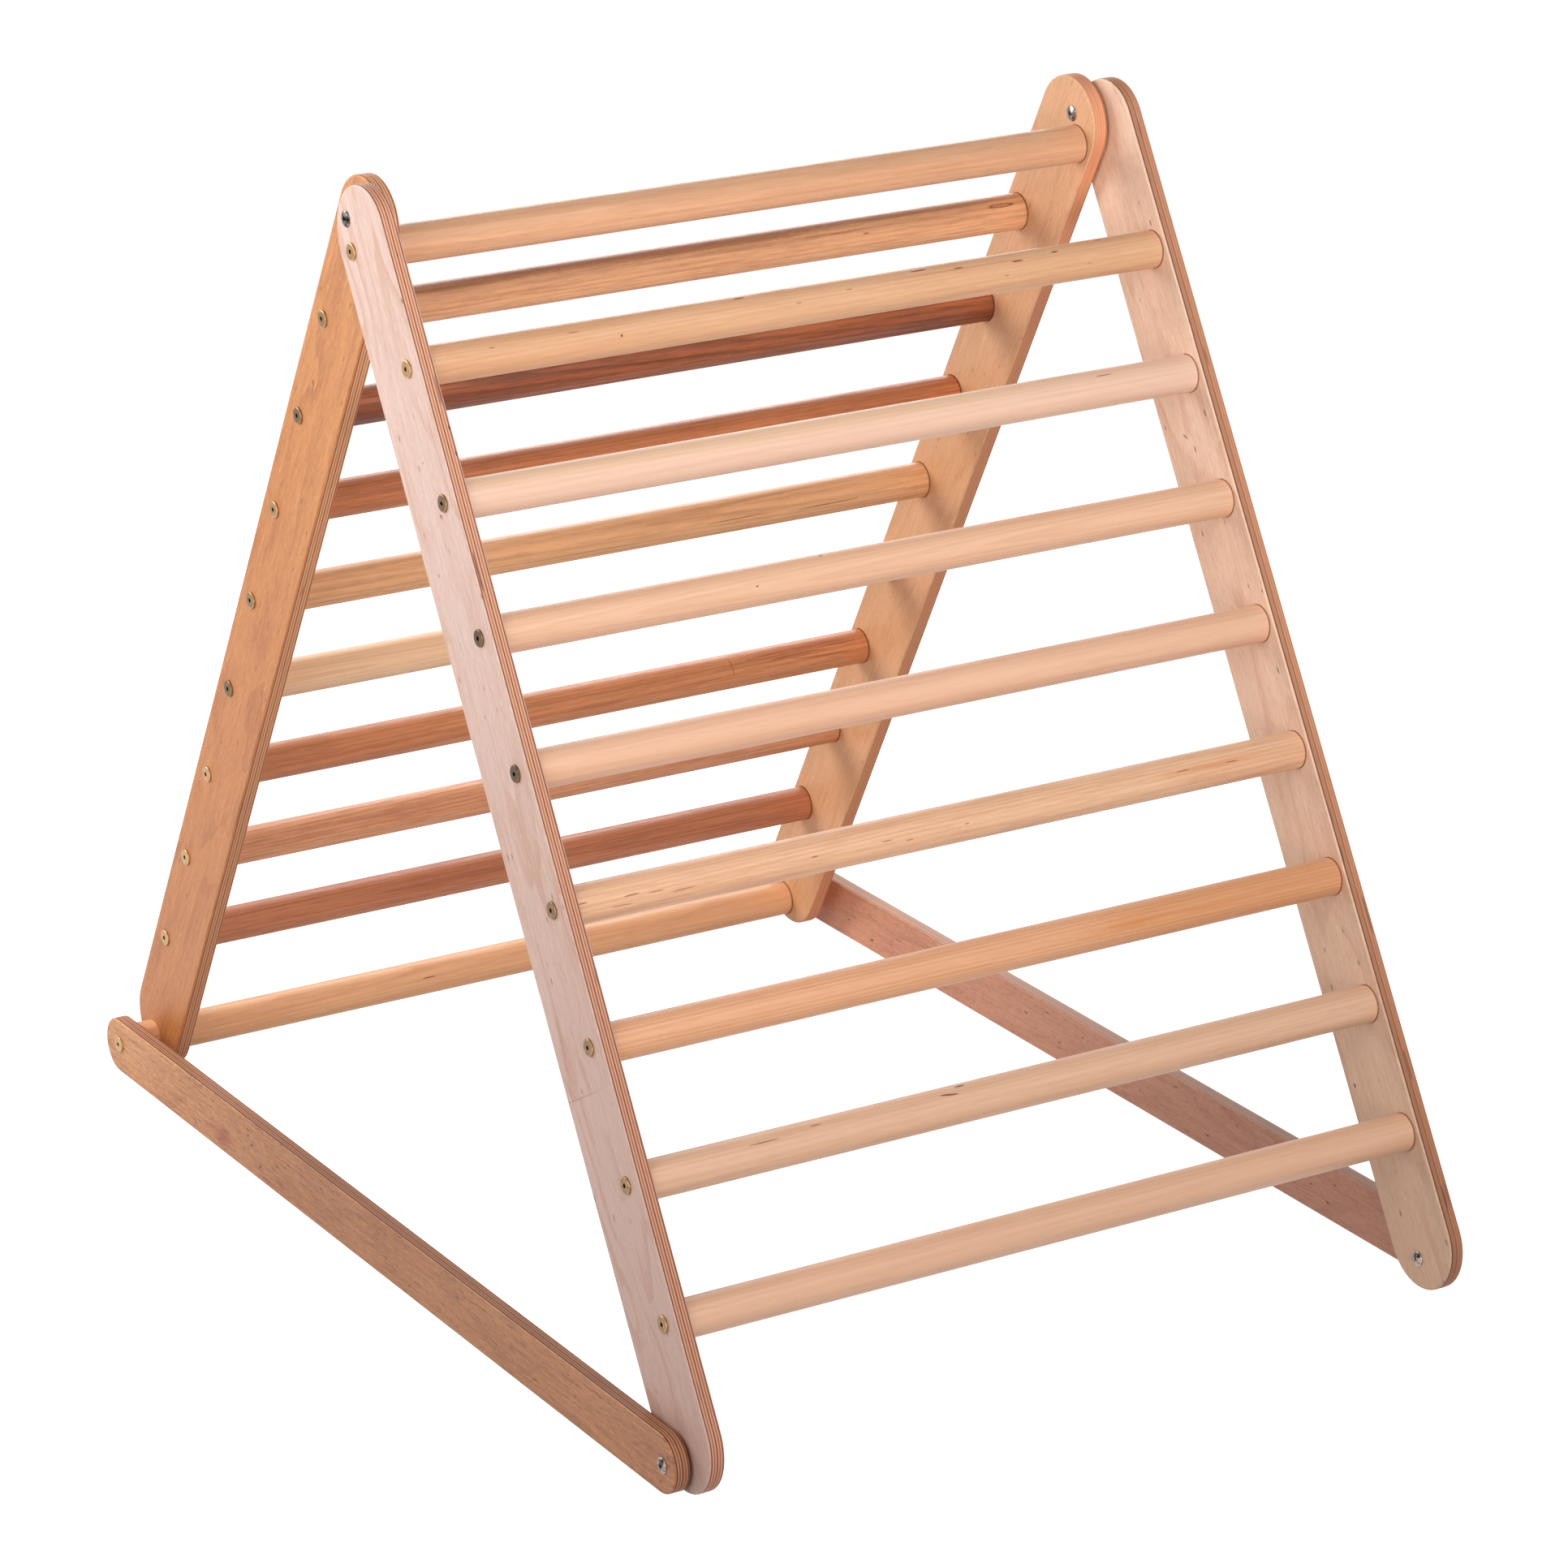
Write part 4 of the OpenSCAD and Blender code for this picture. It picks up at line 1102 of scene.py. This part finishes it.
def make_bolts(name, seats, tree, values, body, nodes):
    """Runs a bolt tree over its seats, keeps the result as a plain mesh and hides the plain bolts."""
    piece = seat_points(name, seats)
    modifier = piece.modifiers.new("Bolts", "NODES")
    modifier.node_group = tree
    for item in tree.interface.items_tree:
        if item.in_out == "INPUT" and item.name in values:
            modifier[item.identifier] = values[item.name]
    bpy.context.view_layer.update()
    shapes = bpy.context.evaluated_depsgraph_get()
    mesh = bpy.data.meshes.new_from_object(
        piece.evaluated_get(shapes), preserve_all_data_layers=True, depsgraph=shapes
    )
    piece.modifiers.clear()
    piece.data = mesh
    if not mesh.polygons:
        raise RuntimeError(f"{name} came out empty")
    mesh.shade_smooth()
    mesh.set_sharp_from_angle(angle=SHARP_ANGLE)
    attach(piece, body)
    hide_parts(*nodes)


# ---- studio --------------------------------------------------------------------------------

FLOOR_SIDES = 64
FLOOR_GLOW = 0.895
FLOOR_SHADE = 0.7
LAMP_TARGET = Vector((0, 0, 0.45))
# Place and width of each lamp, by the name of its power in the settings
LAMPS = {
    "high_front": ((0.2, -2.0, 2.2), 1.0),
    "low_front": ((-0.5, -3.2, 0.5), 1.5),
    "left": ((-2.3, -1.2, 1.4), 2.2),
    "rear_left": ((-1.5, 1.5, 1.45), 1.5),
    "rear": ((0.9, 1.8, 1.4), 1.0),
}
SENSOR_WIDTH = 36
CLIP_NEAR = 0.1
CLIP_FAR = 200


def lamp(name, place, power, size):
    data = bpy.data.lights.new(name, "AREA")
    data.energy, data.shape, data.size = power, "DISK", size
    light = place_in_scene(name, data)
    light.location = place
    light.visible_camera = False
    light.rotation_euler = (LAMP_TARGET - Vector(place)).to_track_quat("-Z", "Y").to_euler()


def seen_directly(bench):
    """1 for rays of the camera and for mirrored or clear rays."""
    path = bench.put("ShaderNodeLightPath").outputs
    mirrored = bench.math("MAXIMUM", path["Is Glossy Ray"], path["Is Transmission Ray"])
    return bench.math("MAXIMUM", path["Is Camera Ray"], mirrored)


def grey(level):
    return (level, level, level, 1)


def floor_material(bounce):
    material, bench = new_material("studio floor")
    paint = bench.out("ShaderNodeBsdfDiffuse", {"Color": grey(bounce)})
    faint = bench.out("ShaderNodeBsdfDiffuse", {"Color": grey(FLOOR_SHADE)})
    glow = bench.out("ShaderNodeEmission", {"Color": grey(1), "Strength": FLOOR_GLOW})
    bright = bench.out("ShaderNodeAddShader", {0: faint, 1: glow})
    finish_material(bench, bench.out("ShaderNodeMixShader", {0: seen_directly(bench), 1: paint, 2: bright}))
    return material


def light_room(strength):
    world = bpy.data.worlds.new("studio room")
    world.use_nodes = True
    world.node_tree.nodes.clear()
    bench = Bench(world.node_tree)
    room = bench.out("ShaderNodeBackground", {"Color": grey(1), "Strength": strength})
    white = bench.out("ShaderNodeBackground", {"Color": grey(1), "Strength": 1.0})
    mixed = bench.out("ShaderNodeMixShader", {0: seen_directly(bench), 1: room, 2: white})
    bench.put("ShaderNodeOutputWorld", {"Surface": mixed})
    bpy.context.scene.world = world


def set_camera(studio):
    azimuth, elevation, roll = studio.camera_turn
    place = Matrix.Translation(studio.camera_place)
    for turn, axis in ((azimuth, "Z"), (math.pi / 2 - elevation, "X"), (roll, "Z")):
        place @= Matrix.Rotation(turn, 4, axis)
    data = bpy.data.cameras.new("photo camera")
    data.sensor_width, data.lens = SENSOR_WIDTH, studio.lens
    data.clip_start, data.clip_end = CLIP_NEAR, CLIP_FAR
    camera = place_in_scene("photo camera", data)
    camera.matrix_world = place
    bpy.context.scene.camera = camera


# ---- operators -----------------------------------------------------------------------------


def settings_of(context):
    return context.scene.climbing_triangle


def named_lengths(sizes):
    """The lengths of a bolt by their names, which are also those of its tree's inputs."""
    values = {sizes.bl_rna.properties[key].name: getattr(sizes, key) for key in sizes.__annotations__}
    return {name: value for name, value in values.items() if isinstance(value, float)}


def fill_marks(finish, kind, rows, across_unit):
    """Adds marks of one kind; a row without a turn stays in line with the grain."""
    for along, across, length, width, depth, *turn in rows:
        mark = finish.marks.add()
        mark.kind, mark.depth, mark.turn = kind, depth, math.radians(sum(turn))
        mark.along, mark.length, mark.width = along * MM, length * MM, width * MM
        mark.across = across * across_unit


class LoadFinishes(bpy.types.Operator):
    """Fill in the finish of every rung and board"""

    bl_idname = "climbing_triangle.load_finishes"
    bl_label = "Load Finishes"

    def execute(self, context):
        settings = settings_of(context)
        for finishes, target, first_seed, across_unit in (
            (RUNG_FINISHES, settings.rungs, 1, math.radians(1) * RUNG_RADIUS),
            (BOARD_FINISHES, settings.boards, 21, MM),
        ):
            target.clear()
            for seed, (name, values) in enumerate(finishes.items(), first_seed):
                finish = target.add()
                finish.name, finish.seed = name, seed
                for key, value in values.items():
                    if key.isupper():
                        fill_marks(finish, key, value, across_unit)
                    elif key == "joint":
                        finish.joint = value * MM
                    elif key in ("heart", "lean", "fade"):
                        setattr(finish, key, [number * MM for number in value])
                    else:
                        setattr(finish, key, value)
        return {"FINISHED"}


class DressRungs(bpy.types.Operator):
    """Give every rung its own wood"""

    bl_idname = "climbing_triangle.dress_rungs"
    bl_label = "Dress Rungs"

    def execute(self, context):
        settings = settings_of(context)
        for finish in settings.rungs:
            name = finish.name
            face = (FRONT_FACES if name.startswith("front") else REAR_FACES)[0]
            dress(name, dowel_material(name, finish, middle(name), settings.dowel, face))
        return {"FINISHED"}


class DressBoards(bpy.types.Operator):
    """Give every rail and floor bar its own plywood"""

    bl_idname = "climbing_triangle.dress_boards"
    bl_label = "Dress Boards"

    def execute(self, context):
        settings = settings_of(context)
        lies = {
            "front": (lean_of("front"), FOLD_AXIS, FRONT_FACES),
            "rear": (-lean_of("rear"), FOLD_AXIS, REAR_FACES),
            "floor": (math.pi / 2, Vector((0, 0, 0)), BAR_FACES),
        }
        for finish in settings.boards:
            lie = lies[finish.name.split("_")[0]]
            dress(finish.name, board_material(finish.name, finish, *lie, settings.plywood))
        return {"FINISHED"}


class FitConnectorBolts(bpy.types.Operator):
    """Set a brass bolt in every rung end"""

    bl_idname = "climbing_triangle.fit_connector_bolts"
    bl_label = "Fit Connector Bolts"

    def execute(self, context):
        sizes = settings_of(context).connector
        brass = metal_material(
            "connector brass", sizes.metal, sizes.dark, tarnish=0.25, roughness=0.3, by_head=True
        )
        values = {**named_lengths(sizes), "Material": brass}
        tree = connector_bolt_tree(values)
        for body, rows, face, nodes in (
            (
                "front_ladder", ("top", "front"), FRONT_FACES[1],
                ("front_rung_bolts_left", "front_rung_bolts_right", "top_rung_bolts"),
            ),
            ("rear_ladder", ("rear",), REAR_FACES[1], ("rear_rung_bolts_left", "rear_rung_bolts_right")),
            ("floor_frame", ("bottom",), BAR_FACES[1], ("bottom_rung_bolts",)),
        ):
            seats = []
            for row in rows:
                for number, darkness in enumerate(PATINA_AND_REFLECTION[row], 1):
                    rung = f"{row}_rung_{number}" if len(PATINA_AND_REFLECTION[row]) > 1 else f"{row}_rung"
                    seats += both_sides(rung, face, darkness)
            make_bolts(f"connector_bolts_{body}", seats, tree, values, body, nodes)
        return {"FINISHED"}


class FitLockBolts(bpy.types.Operator):
    """Set the domed screws and sleeves that lock the frame"""

    bl_idname = "climbing_triangle.fit_lock_bolts"
    bl_label = "Fit Lock Bolts"

    def execute(self, context):
        sizes = settings_of(context).lock
        steel = metal_material(
            "lock steel", sizes.metal, sizes.dark, tarnish=0.9, roughness=0.18, by_head=True
        )
        sleeve = {**named_lengths(sizes), "Material": steel}
        sleeve["Shank Width"] = sleeve.pop("Sleeve Width")
        sleeve["Bore Width"] = sleeve.pop("Screw Width")
        screw = {**sleeve, "Shank Width": sizes.screw_width, "Bore Depth": 0.0}
        tree = lock_bolt_tree(sleeve)
        # The fifth column is each head's darkness: partly patina, partly painted reflection
        for node, body, face, inwards, darkness, values in (
            ("apex_lock_screws", "front_ladder", FRONT_FACES[1], False, 0.5, screw),
            ("apex_lock_sleeves", "rear_ladder", REAR_FACES[0], True, 0.1, sleeve),
            ("floor_lock_screws", "floor_frame", BAR_FACES[1], False, 0.2, screw),
            ("floor_lock_sleeves", "front_ladder", FRONT_FACES[0], True, 0.1, sleeve),
        ):
            seats = list(both_sides(node, face, darkness, inwards))
            make_bolts(node.replace("lock", "locking"), seats, tree, values, body, (node,))
        return {"FINISHED"}


class DressInserts(bpy.types.Operator):
    """Give the threaded inserts in the rung ends their zinc"""

    bl_idname = "climbing_triangle.dress_inserts"
    bl_label = "Dress Inserts"

    def execute(self, context):
        zinc = metal_material("insert zinc", ZINC, DULL_ZINC, tarnish=0.6, roughness=0.4)
        for row in PATINA_AND_REFLECTION:
            dress(f"{row}_rung_inserts", zinc)
        return {"FINISHED"}


class SetStudio(bpy.types.Operator):
    """Lay the pale floor, hang the lamps and set the camera"""

    bl_idname = "climbing_triangle.set_studio"
    bl_label = "Set Studio"

    def execute(self, context):
        studio = settings_of(context).studio
        mesh = bpy.data.meshes.new("studio_floor")
        angles = [math.tau * side / FLOOR_SIDES for side in range(FLOOR_SIDES)]
        ring = [studio.floor_radius * Vector((math.cos(turn), math.sin(turn), 0)) for turn in angles]
        mesh.from_pydata(ring, [], [range(FLOOR_SIDES)])
        mesh.materials.append(floor_material(studio.bounce))
        floor = place_in_scene("studio_floor", mesh)
        light_room(studio.room)
        for key, (place, size) in LAMPS.items():
            lamp(f"{key.replace('_', ' ')} lamp", place, getattr(studio, key), size)
        set_camera(studio)
        context.scene.view_settings.view_transform = "Standard"
        return {"FINISHED"}


class TrianglePanel(bpy.types.Panel):
    """Sizes, colours and the steps that use them"""

    bl_idname = "VIEW3D_PT_climbing_triangle"
    bl_label = "Climbing Triangle"
    bl_space_type = "VIEW_3D"
    bl_region_type = "UI"
    bl_category = "Triangle"

    def draw(self, context):
        settings = settings_of(context)
        for part in (settings.dowel, settings.plywood, settings.connector, settings.lock, settings.studio):
            box = self.layout.box()
            for key in part.__annotations__:
                box.prop(part, key)
        for step in STEPS:
            self.layout.operator(step.bl_idname)


STEPS = (
    LoadFinishes, DressRungs, DressBoards, FitConnectorBolts, FitLockBolts, DressInserts, SetStudio
)
CLASSES = (
    GrainMark, RungFinish, BoardFinish, PlywoodSizes, DowelSizes, ConnectorBolt, LockBolt,
    StudioSetup, TriangleSettings, *STEPS, TrianglePanel,
)


def register():
    for kind in CLASSES:
        bpy.utils.register_class(kind)
    bpy.types.Scene.climbing_triangle = PointerProperty(type=TriangleSettings)


def unregister():
    del bpy.types.Scene.climbing_triangle
    for kind in reversed(CLASSES):
        bpy.utils.unregister_class(kind)


def main():
    register()
    for step in STEPS:
        area, name = step.bl_idname.split(".")
        getattr(getattr(bpy.ops, area), name)()


if __name__ == "__main__":
    main()
